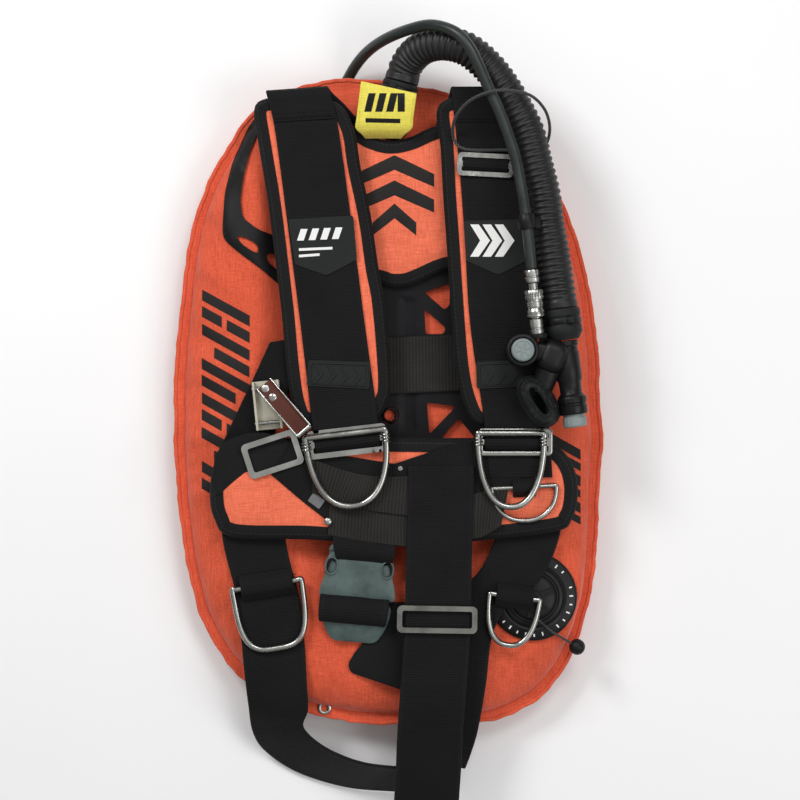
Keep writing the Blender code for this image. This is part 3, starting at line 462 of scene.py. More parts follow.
def sheet_mesh(outline, low, high, holes=(), grid=None):
    """A closed sheet between low(x, y, d) and high(x, y, d), d the distance to the outline."""
    rings = [list(outline), *[list(h) for h in holes]]
    flat, edges = [], []
    for ring in rings:
        first = len(flat)
        flat += [Vector(p) for p in ring]
        edges += [(first + k, first + (k + 1) % len(ring)) for k in range(len(ring))]
    if grid:
        xs, ys = [p[0] for p in outline], [p[1] for p in outline]
        inner = []
        for i in range(int((max(xs) - min(xs)) / grid) + 2):
            for j in range(int((max(ys) - min(ys)) / grid) + 2):
                spot = (min(xs) + (i + 0.5 * (j % 2)) * grid, min(ys) + j * grid)
                if inside(spot, rings[0]) and not any(inside(spot, h) for h in rings[1:]):
                    inner.append(spot)
        if inner:
            far = edge_distance(inner, rings[0])
            for h in rings[1:]:
                far = np.minimum(far, edge_distance(inner, h))
            flat += [Vector(p) for p, d in zip(inner, far) if d > grid * 0.45]
    spots, _, tris, *_ = delaunay_2d_cdt(flat, edges, [], 0, 0.005)
    kept = []
    for tri in tris:
        middle = sum((spots[i] for i in tri), Vector((0, 0))) / len(tri)
        if inside(middle, rings[0]) and not any(inside(middle, h) for h in rings[1:]):
            kept.append(list(tri))
    count = len(spots)
    away = edge_distance([tuple(s) for s in spots], outline)
    points = [(s.x, s.y, high(s.x, s.y, d)) for s, d in zip(spots, away)]
    points += [(s.x, s.y, low(s.x, s.y, d)) for s, d in zip(spots, away)]
    faces = kept + [[i + count for i in reversed(t)] for t in kept]
    seen = {(a, b) for t in kept for a, b in zip(t, t[1:] + t[:1])}
    faces += [[b, a, a + count, b + count] for a, b in seen if (b, a) not in seen]
    used = sorted({i for f in faces for i in f})
    index = {old: new for new, old in enumerate(used)}
    uvs = [(points[i][0] * MM, points[i][1] * MM) for i in used]
    return mesh_of([points[i] for i in used], [[index[i] for i in f] for f in faces], uvs)


def blend(low, high, value):
    t = min(max((value - low) / (high - low), 0.0), 1.0)
    return t * t * (3 - 2 * t)


def ripple(x, y, size, seed=0.0):
    """Smooth noise of about -1 to 1 whose features are size mm across."""
    return noise.noise(Vector((x / size, y / size, seed)))


# ================================================================ camera, lights, floor

CAMERA_HIGH = 1750.0
CAMERA_OVER = (7.8, -78.0)
VIEW_WIDE = 624.0
VIEW_LEVEL = 50.0

eye = bpy.data.cameras.new("camera")
eye.sensor_width = 36.0
eye.lens = 36.0 * (CAMERA_HIGH - VIEW_LEVEL) / VIEW_WIDE
eye.clip_start = 0.05
camera = bpy.data.objects.new("camera", eye)
bpy.context.scene.collection.objects.link(camera)
camera.location = at(*CAMERA_OVER, CAMERA_HIGH)
bpy.context.scene.camera = camera
bpy.context.scene.view_settings.view_transform = "Standard"

floor_mesh = bpy.data.meshes.new("floor")
FLOOR_HALF, FLOOR_Z = 4, -0.0006
floor_corners = [(FLOOR_HALF * x, FLOOR_HALF * y, FLOOR_Z) for x, y in ((-1, -1), (1, -1), (1, 1), (-1, 1))]
floor_mesh.from_pydata(floor_corners, [], [[0, 1, 2, 3]])
floor_look = Look("pale_floor", (0.86, 0.86, 0.86), 0.9, Specular_IOR_Level=0.1)
floor_look.set(
    "Base Color", floor_look.ramp(floor_look.noise(floor_look.coords(), 3.0), (0.3, 0.90), (0.7, 0.92))
)
floor_mesh.materials.append(floor_look.mat)
floor = bpy.data.objects.new("floor", floor_mesh)
bpy.context.scene.collection.objects.link(floor)

world = bpy.data.worlds.new("studio")
bpy.context.scene.world = world
world.use_nodes = True
sky, wires = world.node_tree.nodes, world.node_tree.links
split_sky = sky.new("ShaderNodeSeparateXYZ")
wires.new(sky.new("ShaderNodeTexCoord").outputs["Generated"], split_sky.inputs[0])
dome = sky.new("ShaderNodeValToRGB")
wires.new(split_sky.outputs["Z"], dome.inputs["Fac"])
wires.new(dome.outputs["Color"], sky["Background"].inputs["Color"])
dome.color_ramp.elements.new(0.45)
for stop, (place_at, grey) in zip(dome.color_ramp.elements, ((0.0, 0.08), (0.45, 0.2), (1.0, 0.62))):
    stop.position, stop.color = place_at, (grey, grey, grey, 1.0)


def soft_light(name, spot, size, power):
    """A square area light aimed at the middle of the vest."""
    lamp = bpy.data.lights.new(name, "AREA")
    lamp.size = size
    lamp.energy = power
    made = bpy.data.objects.new(name, lamp)
    bpy.context.scene.collection.objects.link(made)
    made.location = spot
    made.rotation_euler = (Vector((0, 0.02, 0.03)) - Vector(spot)).to_track_quat("-Z", "Y").to_euler()
    return made


soft_light("key", (-0.85, 1.0, 1.25), 0.5, 14.5)
soft_light("fill", (1.2, -0.4, 1.5), 1.0, 10)
soft_light("top", (0.5, 1.1, 1.9), 0.7, 11)


# ================================================================ wing

SEAM_Z, LOBE_TOP, PANEL_TOP = 22.0, 44.0, 27.0
FLANGE = 7.5
DIP_CENTRE, DIP_HALF = (8.0, -12.0), (94.0, 185.0)
CHANNEL_HALF, CHANNEL_EDGE = 66.0, 88.0
VALVE_AT, VALVE_R, VALVE_SEAT = (112.0, -232.0), 34.5, 40.5
WING_RIM = [
    (-37, 176), (-68, 170), (-94, 160), (-113, 145), (-126, 124), (-141, 99), (-152, 72), (-160, 34),
    (-166, -14), (-170, -76), (-169, -133), (-164, -184), (-155, -230), (-141, -266), (-117, -297),
    (-76, -321), (-34, -331), (6, -334), (66, -334), (98, -325), (124, -307), (142, -280), (156, -240),
    (162, -199), (165, -146), (167, -104), (164, -46), (158, 8), (148, 46), (132, 86), (108, 122), (80, 147),
    (47, 163), (14, 170),
]
rim_line = smooth_line([(x, y, 0) for x, y in WING_RIM], 3.4, closed=True)
RIM_COUNT = len(rim_line)


def rim_wave(k):
    """Uneven scallops of the sewn rim, in mm."""
    a = 2 * math.pi * k / RIM_COUNT
    ring = Vector((math.cos(a), math.sin(a), 0))
    return 1.7 * noise.noise(ring * 9.0 + Vector((3, 1, 0.5))) + 1.0 * noise.noise(ring * 26.0)


def pucker(k, depth):
    """Wrinkles that run in from the seam, strongest beside it, depth mm inside the rim."""
    a = 2 * math.pi * k / RIM_COUNT
    ring = Vector((math.cos(a), math.sin(a), 0))
    fine = noise.noise(ring * 21.0 + Vector((0, 0, depth * 0.012)))
    broad = noise.noise(ring * 9.5 + Vector((5, 2, depth * 0.008)))
    grow = blend(FLANGE, FLANGE + 7, depth)
    return grow * (4.4 * fine * math.exp(-depth / 24.0) + 4.2 * broad * math.exp(-depth / 55.0))


def fullness(depth):
    """How high the tube stands at a distance inside the rim: 0 at the seam, 1 on top."""
    t = min(max((depth - FLANGE) / 62.0, 0.0), 1.0)
    return math.sqrt(max(0.0, 1 - (1 - t) ** 2.3))


def wing_top(x, y, depth, k):
    across, along = abs((x - DIP_CENTRE[0]) / DIP_HALF[0]), abs((y - DIP_CENTRE[1]) / DIP_HALF[1])
    reach = (across**4 + along**4) ** 0.25
    dip = 1 - blend(0.93, 1.25, reach)
    rim = SEAM_Z + 0.6
    full = fullness(depth)
    top = rim + full * ((LOBE_TOP - rim) * (1 - dip) + (PANEL_TOP - rim) * dip)
    groove = -1.5 * math.exp(-(((depth - FLANGE) / 1.6) ** 2))
    away = math.hypot(x - VALVE_AT[0], y - VALVE_AT[1])
    seat = (1 - blend(VALVE_R + 2, VALVE_R + 16, away)) * min(1.0, full * 2.5)
    soft = 2.0 * ripple(x, y, 40, 2.0) * full * (1 - dip)
    tuck = 3.4 * full * (1 - dip) * max(0.0, ripple(x, y * 0.45, 19, 7.0) - 0.12)
    return (top + groove + pucker(k, depth) * (1 - dip) + soft - tuck) * (1 - seat) + VALVE_SEAT * seat


def wing_under(x, y, depth, k):
    channel = (1 - blend(CHANNEL_HALF, CHANNEL_EDGE, abs(x))) * blend(-240, -205, y)
    rim = SEAM_Z - 0.6
    full = fullness(depth)
    return max(0.0, rim - (rim + 0.6) * full * (1 - channel) - 0.6 * pucker(k, depth))


def wing_side(name, height, faces_up, nodes):
    """One sewn half of the wing, as a skin with thickness on its inside."""
    levels = [0, 1.2, 2.6, 4.2, 5.8, 6.8, 7.5, 8.2, 9.4, 11, 13, 15.5, 18.5, 22, 26, 30, 35, 40]
    levels += [46, 52, 59, 67, 76, 86]
    inner = [0.42, 0.34, 0.26, 0.18, 0.1]
    points, count = [], RIM_COUNT
    centre = WING_CENTRE.xy
    for depth in levels:
        for k, rim in enumerate(rim_line):
            out = rim.xy - centre
            long = out.length
            share = (long - depth + rim_wave(k) * math.exp(-depth / 12)) / long
            x, y = centre + out * share
            points.append((x, y, height(x, y, depth, k)))
    for level in inner:
        for k, rim in enumerate(rim_line):
            out = rim.xy - centre
            edge = (out.length - levels[-1]) / out.length
            share = edge * level / 0.5
            x, y = centre + out * share
            points.append((x, y, height(x, y, out.length * (1 - share), k)))
    rings = len(levels) + len(inner)
    points.append((*centre, height(*centre, 150, 0)))
    faces = []
    for ring in range(rings - 1):
        for k in range(count):
            m = (k + 1) % count
            a, b = ring * count, (ring + 1) * count
            faces.append([a + k, a + m, b + m, b + k])
    last = (rings - 1) * count
    faces += [[last + k, last + (k + 1) % count, rings * count] for k in range(count)]
    mesh = mesh_of(points, faces)
    piece = place(name, mesh, "wing", node=nodes, slot="orange_cordura", smooth_angle=0)
    if (sum(p.normal.z * p.area for p in mesh.polygons) > 0) != faces_up:
        mesh.flip_normals()
    skin = piece.modifiers.new("skin", "SOLIDIFY")
    skin.thickness = 0.0009
    skin.offset = -1
    return piece


def surface(mesh, otherwise):
    """A function that gives the height in mm of a mesh's upper face at (x, y)."""
    corners = [(v.co - ORIGIN) / MM for v in mesh.vertices]
    tree = BVHTree.FromPolygons(corners, [tuple(f.vertices) for f in mesh.polygons])

    def height(x, y, beside=otherwise):
        hit = tree.ray_cast(Vector((x, y, 300)), Vector((0, 0, -1)))[0]
        return hit.z if hit else beside

    return height


front = wing_side("wing_front_panel", wing_top, True, ("wing_front_shell", "wing_bladder"))
wing_side("wing_back_panel", wing_under, False, "wing_back_shell")
on_wing = surface(front.data, 24.0)
rim_edge = []
for k, rim in enumerate(rim_line):
    out = rim.xy - WING_CENTRE.xy
    spot = WING_CENTRE.xy + out * ((out.length + rim_wave(k) - 0.2) / out.length)
    rim_edge.append(Vector((*spot, SEAM_Z)))
piping = sweep(rim_edge, round_box(1.5, 1.9, 0.8, 2), closed=True)
place("wing_edge_tape", piping, "wing", slot="orange_cordura", smooth_angle=60)


def draped_film(name, outline, look, holes=(), lift=0.45, thick=0.5, grid=4.0, node=(), slot=None,
    over=on_wing):
    """A thin print or rubber panel that follows the surface whose height is over(x, y)."""
    mesh = sheet_mesh(
        outline,
        lambda x, y, d: over(x, y) + lift - 0.25,
        lambda x, y, d: over(x, y) + lift + thick * blend(-0.4, 0.9, d),
        holes,
        grid,
    )
    return place(name, mesh, look, node=node, slot=slot)


def dense(outline, step=3.0):
    """An outline with points no further than step apart."""
    points = []
    for (x1, y1), (x2, y2) in zip(outline, outline[1:] + outline[:1]):
        n = max(1, round(math.hypot(x2 - x1, y2 - y1) / step))
        points += [(x1 + (x2 - x1) * k / n, y1 + (y2 - y1) * k / n) for k in range(n)]
    return points


def curved(outline, step=3.0):
    """A smooth closed outline through the given points."""
    return [(p.x, p.y) for p in smooth_line([(x, y, 0) for x, y in outline], step, closed=True)]


def rounded_corners(outline, radius, steps=4):
    """A polygon with each corner cut back and rounded."""
    points = []
    n = len(outline)
    for k in range(n):
        a, b, c = Vector(outline[k - 1]), Vector(outline[k]), Vector(outline[(k + 1) % n])
        reach = min(radius, (a - b).length * 0.45, (c - b).length * 0.45)
        start, end = b + (a - b).normalized() * reach, b + (c - b).normalized() * reach
        for j in range(steps + 1):
            t = j / steps
            points.append(tuple(start * (1 - t) ** 2 + b * 2 * t * (1 - t) + end * t**2))
    return points


# Yoke: moulded rubber panels that tie the pads to the wing
YOKE_LEFT = [
    [(-112, 139), (-120, 122), (-125, 107), (-130, 86), (-131, 66), (-132, 49), (-118, 37), (-100, 24),
     (-84, 10), (-74, 18), (-79, 70), (-86, 112), (-94, 150), (-104, 149)],
    [(-103, 136), (-110.5, 116), (-115, 97), (-117.5, 79), (-115.5, 65), (-104, 56), (-88, 50), (-88, 72),
        (-94, 108)],
    [(-121, 51), (-116, 44), (-107, 38), (-103, 37), (-103, 43), (-112, 49)],
    [(-97, 38), (-88, 36), (-87, 30), (-88, 24), (-96, 30)],
]
YOKE_RIGHT = [
    [(100, 146), (112, 128), (120, 108), (125, 86), (126, 60), (124, 47), (112, 34), (100, 26), (97, 80)],
    [(106, 118), (112, 100), (117, 78), (115, 64), (106, 56), (105, 90)],
]
for side, rings in (("left", YOKE_LEFT), ("right", YOKE_RIGHT)):
    draped_film(
        f"yoke_panel_moulded_{side}",
        dense(rounded_corners(rings[0], 7)),
        "yoke",
        [dense(rounded_corners(r, 4)) for r in rings[1:]],
        lift=1.3,
        thick=1.6,
        grid=3.4,
        node=f"yoke_panel_{side}",
        slot="yoke_plastic",
    )

# Flank print: slanted blocks, drawn as outlines and bars with no lettering
BLOCK_SLANT = 0.55


def slant(x, y, wide, tall):
    """A block whose top and bottom fall away to the right."""
    return [
        (x, y), (x + wide, y - wide * BLOCK_SLANT), (x + wide, y - wide * BLOCK_SLANT - tall), (x, y - tall),
    ]


FLANK_ROW, FLANK_BAR = 27.0, 8.5
# Each row's short blocks: left edge, drop below the row's long block, and width
FLANK_SHORT = (((-148, 13, 16), (-128, 24, 18)), ((-138, 18.5, 28),), ((-148, 13, 27),))
flank = []
for k in range(6):
    y = 9 - FLANK_ROW * k
    flank.append(slant(-148, y, 38, FLANK_BAR))
    flank += [slant(x, y - drop, wide, FLANK_BAR) for x, drop, wide in FLANK_SHORT[k % 3]]
for k in range(3):
    flank += [slant(126, -104 - 21 * k, 24, 8.0), slant(139, -122 - 21 * k, 11, 6.0)]
for k, outline in enumerate(flank):
    draped_film(f"flank_print_{k}", dense(outline), "film", lift=0.3, thick=0.35)

grommet = lathe(
    [(2.6, 0), (5.2, 0), (5.2, 1.0), (4.3, 1.6), (3.2, 1.5), (2.6, 0.9)], (-52, -322, SEAM_Z + 1.2)
)
place("drain_grommet", grommet, "steel", slot="polished_steel")


# ================================================================ cords


def length_of(line):
    return sum((b - a).length for a, b in zip(line, line[1:]))


HOSE_Z, HOSE_R, LP_R = 78.0, 13.3, 4.4
CUFF_DIR = Vector((4.0, 15.0, 1.5)).normalized()
CUFF_AT = Vector((5.4, 158.4, 41.0))
INFLATOR_DIR = Vector((0.125, -1.0, 0.0)).normalized()
LOWER_CUFF_AT = Vector((131.05, -8.1, HOSE_Z))
QD_AT = Vector((112.6, -27.8, HOSE_Z + 12))
QD_DIR = Vector((-4.8, 48.0, 3.0)).normalized()
LP_EXIT = QD_AT + QD_DIR * 49.4
HOSE_ROUTE = [
    CUFF_AT + CUFF_DIR * 13.4, CUFF_AT + CUFF_DIR * 17, (11.6, 181, 44), (17.5, 190, 50), (28, 196, 61),
    (43, 196.5, 72), (59, 191, HOSE_Z), (74, 179, HOSE_Z), (86, 164, HOSE_Z), (97, 146, HOSE_Z),
    (106, 127, HOSE_Z), (112, 104, HOSE_Z), (118, 80, HOSE_Z), (121, 57, HOSE_Z), (124, 41, HOSE_Z),
    (127.2, 20, HOSE_Z), (129.3, 6, HOSE_Z), LOWER_CUFF_AT - INFLATOR_DIR * 4,
    LOWER_CUFF_AT - INFLATOR_DIR * 0.4,
]
LP_ROUTE = [
    LP_EXIT, (106.4, 36, 94), (103.8, 60, 93.5), (100, 85, 93), (95.5, 107, 93), (90, 124, 94), (83, 142, 95),
    (75, 159, 96), (67.5, 176, 97.5), (59.5, 191, 97.5), (49, 202, 94), (31, 209, 82), (11, 207, 66),
    (-7, 202, 47), (-21, 194, 28), (-32, 181, 13), (-40, 163, 6), (-44, 140, 5), (-44, 105, 5), (-44, 70, 5),
    (-44, 30, 5), (-44, -10, 5), (-44, -50, 5), (-44, -90, 5), (-44, -118, 6.5), (-44, -138, 8.6),
    (-44, -148, 8.6),
]
RING_PITCH, RING_DEEP = 5.0, 1.6
hose_line = smooth_line(HOSE_ROUTE, 0.7)
hose_long = length_of(hose_line)


def ringed(share):
    """The hose's radius along its length: full rings with narrow valleys, plain ends."""
    gone = share * hose_long
    ends = blend(3, 9, gone) * blend(3, 9, hose_long - gone)
    crest = 0.5 + 0.5 * math.cos(2 * math.pi * gone / RING_PITCH)
    return 1 - RING_DEEP / HOSE_R * (1 - crest**0.6) * ends


hose = place(
    "corrugated_hose_rings",
    sweep(hose_line, circle(HOSE_R, 32), scale=ringed),
    "hose",
    node="corrugated_hose",
    slot="black_rubber",
    smooth_angle=0,
)

lp_line = smooth_line(LP_ROUTE, 2.2)
lp_hose = place(
    "lp_hose_smooth",
    sweep(lp_line, circle(LP_R, 20)),
    "lp",
    node="lp_hose",
    slot="lp_rubber",
    smooth_angle=0,
)
fitting = lathe(
    [(0, 0), (5.0, 0), (5.4, 0.4), (5.4, 4.5), (5.0, 5), (5.0, 7), (5.4, 7.5), (5.4, 11.5), (5.0, 12),
     (7.5, 12.2), (8.0, 12.8), (8.0, 19.4), (7.5, 20), (4.6, 20.3), (4.4, 21), (4.4, 24), (3.6, 24.4),
     (3.6, 25.6), (4.4, 26), (4.4, 27.6), (3.9, 28), (2.0, 28), (2.0, 22), (0, 22)],
    (-44, -148.5, 8.6),
    (0, -1, 0),
    36,
    lambda a, r, h: 1 - 0.075 * abs(math.sin(3 * a)) if 12.1 < h < 20.1 else 1.0,
)
fitting = place("lp_fitting_turned", fitting, "coupling", node="lp_fitting", slot="polished_steel")
length_of(lp_line) * MM


# ================================================================ straps and pads

WEB_THICK = 2.4
STRAP_SECTION = [
    (-1.0, 0.0), (-0.985, 0.7), (-0.95, 1.0), (-0.90, 1.06), (-0.85, 0.92), (-0.5, 1.0), (0.0, 1.0),
    (0.5, 1.0), (0.85, 0.92), (0.90, 1.06), (0.95, 1.0), (0.985, 0.7),
]
STRAP_SECTION += [(-s, -h) for s, h in STRAP_SECTION]


def strap(name, stations, look="web", node=(), slot="black_webbing", thick=WEB_THICK, step=3.0, sway=0.35,
    body=VEST):
    """Woven webbing: each station is the pair of points on its two edges."""
    both = [Vector((*((Vector(p) + Vector(q)) / 2), *((Vector(q) - Vector(p)) / 2))) for p, q in stations]
    line = smooth_line(both, step)
    mids = [Vector(v[:3]) for v in line]
    halves = [Vector(v[3:6]) for v in line]
    points, uvs, before, gone = [], [], None, 0.0
    for k, (mid, half) in enumerate(zip(mids, halves)):
        run = mids[min(k + 1, len(mids) - 1)] - mids[max(k - 1, 0)]
        normal = half.cross(run).normalized()
        if before and normal.dot(before) < 0:
            normal = -normal
        elif not before and normal.z < 0:
            normal = -normal
        before = normal
        if k:
            gone += (mid - mids[k - 1]).length
        for s, h in STRAP_SECTION:
            wobble = sway * ripple(mid.x + s * 9, mid.y, 24, 4.0) * (1 - 0.6 * abs(s))
            points.append(mid + half * s + normal * (h * thick / 2 + wobble))
            uvs.append((gone * MM, s * half.length * MM))
    m = len(STRAP_SECTION)
    last = len(points) - m
    faces = [list(range(m)), [last + j for j in reversed(range(m))]]
    for k in range(0, last, m):
        for j in range(m):
            i = (j + 1) % m
            faces.append([k + j, k + m + j, k + m + i, k + i])
    return place(name, mesh_of(points, faces, uvs), look, body, node, slot, 60)


STITCH_GAP = 1.1


def stitches(name, line, look="web", long=2.6, radius=0.32):
    """A row of raised thread stitches along a 3-D line."""
    line = smooth_line(line, 0.5)
    total = length_of(line)
    work = bmesh.new()
    start = 0.0
    while start + long < total:
        low, high = int(start / total * (len(line) - 1)), int((start + long) / total * (len(line) - 1))
        a, b = line[low], line[high]
        run = (b - a).normalized()
        side = run.cross(Vector((0, 0, 1))).normalized()
        lift = Vector((0, 0, 1))
        ring = []
        for t, grow in ((0.0, 0.35), (0.25, 0.9), (0.75, 0.9), (1.0, 0.35)):
            c = a.lerp(b, t)
            ring.append(
                [work.verts.new(c + side * radius * grow * x + lift * radius * grow * y) for x,
                    y in circle(1.0, 6)]
            )
        for one, two in zip(ring, ring[1:]):
            for j in range(6):
                work.faces.new([one[j], one[(j + 1) % 6], two[(j + 1) % 6], two[j]])
        work.faces.new(list(reversed(ring[0])))
        work.faces.new(ring[-1])
        start += long + STITCH_GAP
    mesh = bpy.data.meshes.new(name)
    work.to_mesh(mesh)
    work.free()
    return place(name, mesh, look, smooth_angle=60)


def edge_profile(d, half_thick, radius=6.5):
    """The pad's half thickness a distance d inside its outline."""
    t = min(max(d / radius, 0.0), 1.0)
    return half_thick * math.sqrt(max(0.0, 1 - (1 - t) ** 2))


def read(piece):
    graph = bpy.context.evaluated_depsgraph_get()
    return bpy.data.meshes.new_from_object(piece.evaluated_get(graph))


def swollen(piece, voxel_mm, pressure, cap_mm):
    """Blows a closed form up a little as cloth; returns rest and swollen points in metres."""
    remesh = piece.modifiers.new("even", "REMESH")
    remesh.mode = "VOXEL"
    remesh.voxel_size = voxel_mm * MM
    even = read(piece)
    piece.modifiers.clear()
    piece.data = even
    rest = np.array([v.co for v in even.vertices])
    air = piece.modifiers.new("air", "CLOTH")
    air.settings.use_pressure = True
    air.settings.uniform_pressure_force = pressure
    air.settings.effector_weights.gravity = 0
    air.settings.quality = 4
    air.point_cache.frame_start, air.point_cache.frame_end = 1, 20
    for frame_number in range(1, 21):
        bpy.context.scene.frame_set(frame_number)
    blown = read(piece)
    moved = np.array([v.co for v in blown.vertices]) - rest
    piece.modifiers.clear()
    bpy.data.meshes.remove(blown)
    bpy.context.scene.frame_set(1)
    far = np.linalg.norm(moved, axis=1, keepdims=True)
    moved *= np.minimum(1.0, cap_mm * MM / np.maximum(far, 1e-9))
    return rest, rest + moved


def pad(name, outline, z_range, node, rise, pressed=None, bind=9.0, seed=0.0):
    """A foam pad: cloth blown up inside a ribbed edge binding; pressed(x, y) tells where webbing lies."""
    ring = curved(outline, 3.0)
    middle, half = (z_range[0] + z_range[1]) / 2, (z_range[1] - z_range[0]) / 2
    mesh = sheet_mesh(
        ring,
        lambda x, y, d: middle - edge_profile(d + 0.4, half) + 0.6,
        lambda x, y, d: middle + edge_profile(d + 0.4, half) - 0.6,
        grid=3.0,
    )
    piece = place(name, mesh, "pad", node=node, slot="orange_padding", smooth_angle=0)
    rest, blown = swollen(piece, 3.2, 4.0, rise)
    flat = (rest[:, :2] - np.array(ORIGIN.xy)) / MM
    away = edge_distance(flat, ring)
    for vertex, before, after, (x, y), d in zip(piece.data.vertices, rest, blown, flat, away):
        top = before[2] > middle * MM
        share = blend(bind - 1.5, bind + 7, d)
        skin = middle + (1 if top else -1) * (edge_profile(d, half) - 0.45)
        z = skin * (1 - share) + after[2] / MM * share
        z += share * 0.5 * ripple(x, y, 21, seed) + share * 0.5 * ripple(x, y, 8, seed + 3)
        if top and pressed and pressed(x, y):
            z = min(z, z_range[1] + 0.1)
        vertex.co = (*(before[:2] + (after[:2] - before[:2]) * share), z * MM)
    step = piece.modifiers.new("round", "SUBSURF")
    step.levels = step.render_levels = 1
    piece.data.shade_smooth()
    wrap_edge(f"{name}_binding", ring, middle, half, bind)
    return piece


def top_of(piece, least):
    """A function that gives the height of a finished pad's upper face, or least where that is lower."""
    mesh = read(piece)
    height = surface(mesh, least)
    bpy.data.meshes.remove(mesh)
    return lambda x, y: max(height(x, y), least)


def wrap_edge(name, ring, middle, half, width, grow=0.7):
    """Ribbed tape folded round a pad's edge; UVs run along it and across it."""
    n = len(ring)
    area = sum(x1 * y2 - x2 * y1 for (x1, y1), (x2, y2) in zip(ring, ring[1:] + ring[:1]))
    section = []
    for q in (width, width * 0.72, width * 0.45, 2.2, 0.7):
        section.append((q, edge_profile(q, half) + grow))
    section.append((-grow, 0.9))
    whole = section + [(q, -z) for q, z in reversed(section)]
    inner = [(q + (grow if abs(z) < 2 else 0.2), z - math.copysign(grow * 1.4, z)) for q,
        z in reversed(whole)]
    path = whole + inner
    points, uvs, gone = [], [], 0.0
    spread = [0.0]
    for (q1, z1), (q2, z2) in zip(path, path[1:]):
        spread.append(spread[-1] + math.hypot(q2 - q1, z2 - z1))
    for k in range(n):
        a, b, c = Vector(ring[k - 1]), Vector(ring[k]), Vector(ring[(k + 1) % n])
        run = (c - a).normalized()
        inward = Vector((-run.y, run.x)) * (1 if area > 0 else -1)
        if k:
            gone += (b - a).length
        for (q, z), u in zip(path, spread):
            spot = b + inward * q
            points.append((spot.x, spot.y, middle + z + 0.12 * ripple(spot.x, spot.y, 7, 2)))
            uvs.append((gone * MM, (width - q if z > 0 else u) * MM))
    m = len(path)
    faces = []
    for k in range(n):
        t = (k + 1) % n
        for j in range(m):
            i = (j + 1) % m
            faces.append([k * m + j, t * m + j, t * m + i, k * m + i])
    return place(name, mesh_of(points, faces, uvs), "bind", slot="black_webbing", smooth_angle=60)


# Backplate, its webbing and its eyelets
PLATE_Z = (28.6, 32.0)
PLATE = [
    (-68, 146), (-20, 146), (-20, 122), (36, 122), (36, 146), (88, 146), (97, 134), (92, 60), (84, -60),
    (78, -146), (64, -160), (-44, -160), (-58, -146), (-64, -60), (-72, 60), (-77, 134),
]
PLATE_HOLES = [
    [(-73.5, 136), (-18.5, 136), (-18.5, 142), (-73.5, 142)],
    [(38, 136), (93, 136), (93, 142), (38, 142)],
    [(27, 7), (47, 14), (47, -3), (43, -7)],
    [(27, -6), (44, -21), (42, -26), (28, -26)],
    [(29, -80), (52, -83), (31, -105)],
    [(40, -108), (54, -92), (67, -108)],
    [(-14, -152), (44, -152), (44, -144), (-14, -144)],
]
GROOVE = (14.2, 5.6)


def plate_top(x, y, d):
    """The plate's upper face: a long pressed groove and a rounded edge."""
    groove = (1 - blend(GROOVE[1] - 3.0, GROOVE[1] + 2.2, abs(x - GROOVE[0]))) * blend(-116, -113,
        y) * (1 - blend(0, 3, y))
    return PLATE_Z[1] - 1.6 * groove - 0.5 * (1 - blend(0, 1.2, d))


plate_rings = [dense(rounded_corners(h, 2.6), 2.0) for h in PLATE_HOLES]
EYELET_SPOTS = {"upper": (10, 70), "lower": (0, -90)}
for spot in EYELET_SPOTS.values():
    plate_rings.append([(spot[0] + x, spot[1] + y) for x, y in circle(7.2, 28)])
plate = sheet_mesh(
    dense(rounded_corners(PLATE, 8), 2.5),
    lambda x, y, d: PLATE_Z[0],
    plate_top,
    plate_rings,
    2.2,
)
bevel(place("backplate_pressed", plate, "plate", node="backplate", slot="plate_black", smooth_angle=50), 0.5)
EYELET = [(4.3, 0), (6.6, 0), (6.6, 2.5), (6.1, 3.0), (5.0, 3.1), (4.3, 2.6)]
for place_name, spot in EYELET_SPOTS.items():
    eyelet = lathe(EYELET, (*spot, PLATE_Z[0] + 0.2), sides=40)
    place(f"plate_eyelet_{place_name}", eyelet, "plate", node=f"plate_screw_{place_name}",
        slot="polished_steel")
strap(
    "plate_webbing_ribbed",
    [((-62, -74, 34.3), (-62, -29, 34.3)), ((-8, -73.5, 34.3), (-8, -28.5, 34.3)),
     ((31, -72, 34.3), (30.5, -27.5, 34.3)), ((80, -70, 34.3), (80, -26, 34.3))],
    "rib_web",
    "plate_webbing",
)

# Pads
BACK_PAD = [
    (-56, 24), (-30, 18), (-9, 14.5), (1, 11.5), (13, 12), (24, 16), (46, 25), (74, 27), (79, 60), (80, 112),
    (68, 134), (40, 137.5), (16, 128), (0, 125), (-14, 128.5), (-30, 136), (-52, 131), (-62, 112), (-60, 60),
]
LUMBAR = [
    (-139.5, -150), (-136, -128), (-126, -114), (-104, -109), (0, -108), (108, -110), (130, -115),
    (142, -130), (145.5, -150), (141, -170), (126, -180), (44, -189), (0, -191), (-60, -186), (-122, -184),
    (-136, -170),
]
PAD_LEFT = [
    (-105, 148), (-102, 123), (-94.5, 78), (-89.5, 39), (-83.5, -12), (-80, -51), (-75, -82), (-66, -96),
    (-40, -97),
    (-12, -92), (-3, -80), (0, -62), (-4.5, -4), (-9.5, 24), (-15.5, 65), (-23.5, 103), (-29, 134),
    (-42, 153), (-72, 157), (-96, 156),
]
PAD_RIGHT = [
    (37, 146), (40, 119), (42, 83), (45, 40), (48.5, -12), (52, -53), (58, -80), (68, -96), (92, -99),
    (114, -97), (124, -86), (126, -50), (122, 0), (117, 60), (111, 118), (105, 146), (94, 156), (70, 158),
    (46, 156),
]
BACK_PAD_Z, PAD_Z, LUMBAR_Z, WEB_Z, WEB_END_Z = (32.5, 40.0), (48.3, 57.3), (49.5, 58.5), 59.0, 60.4


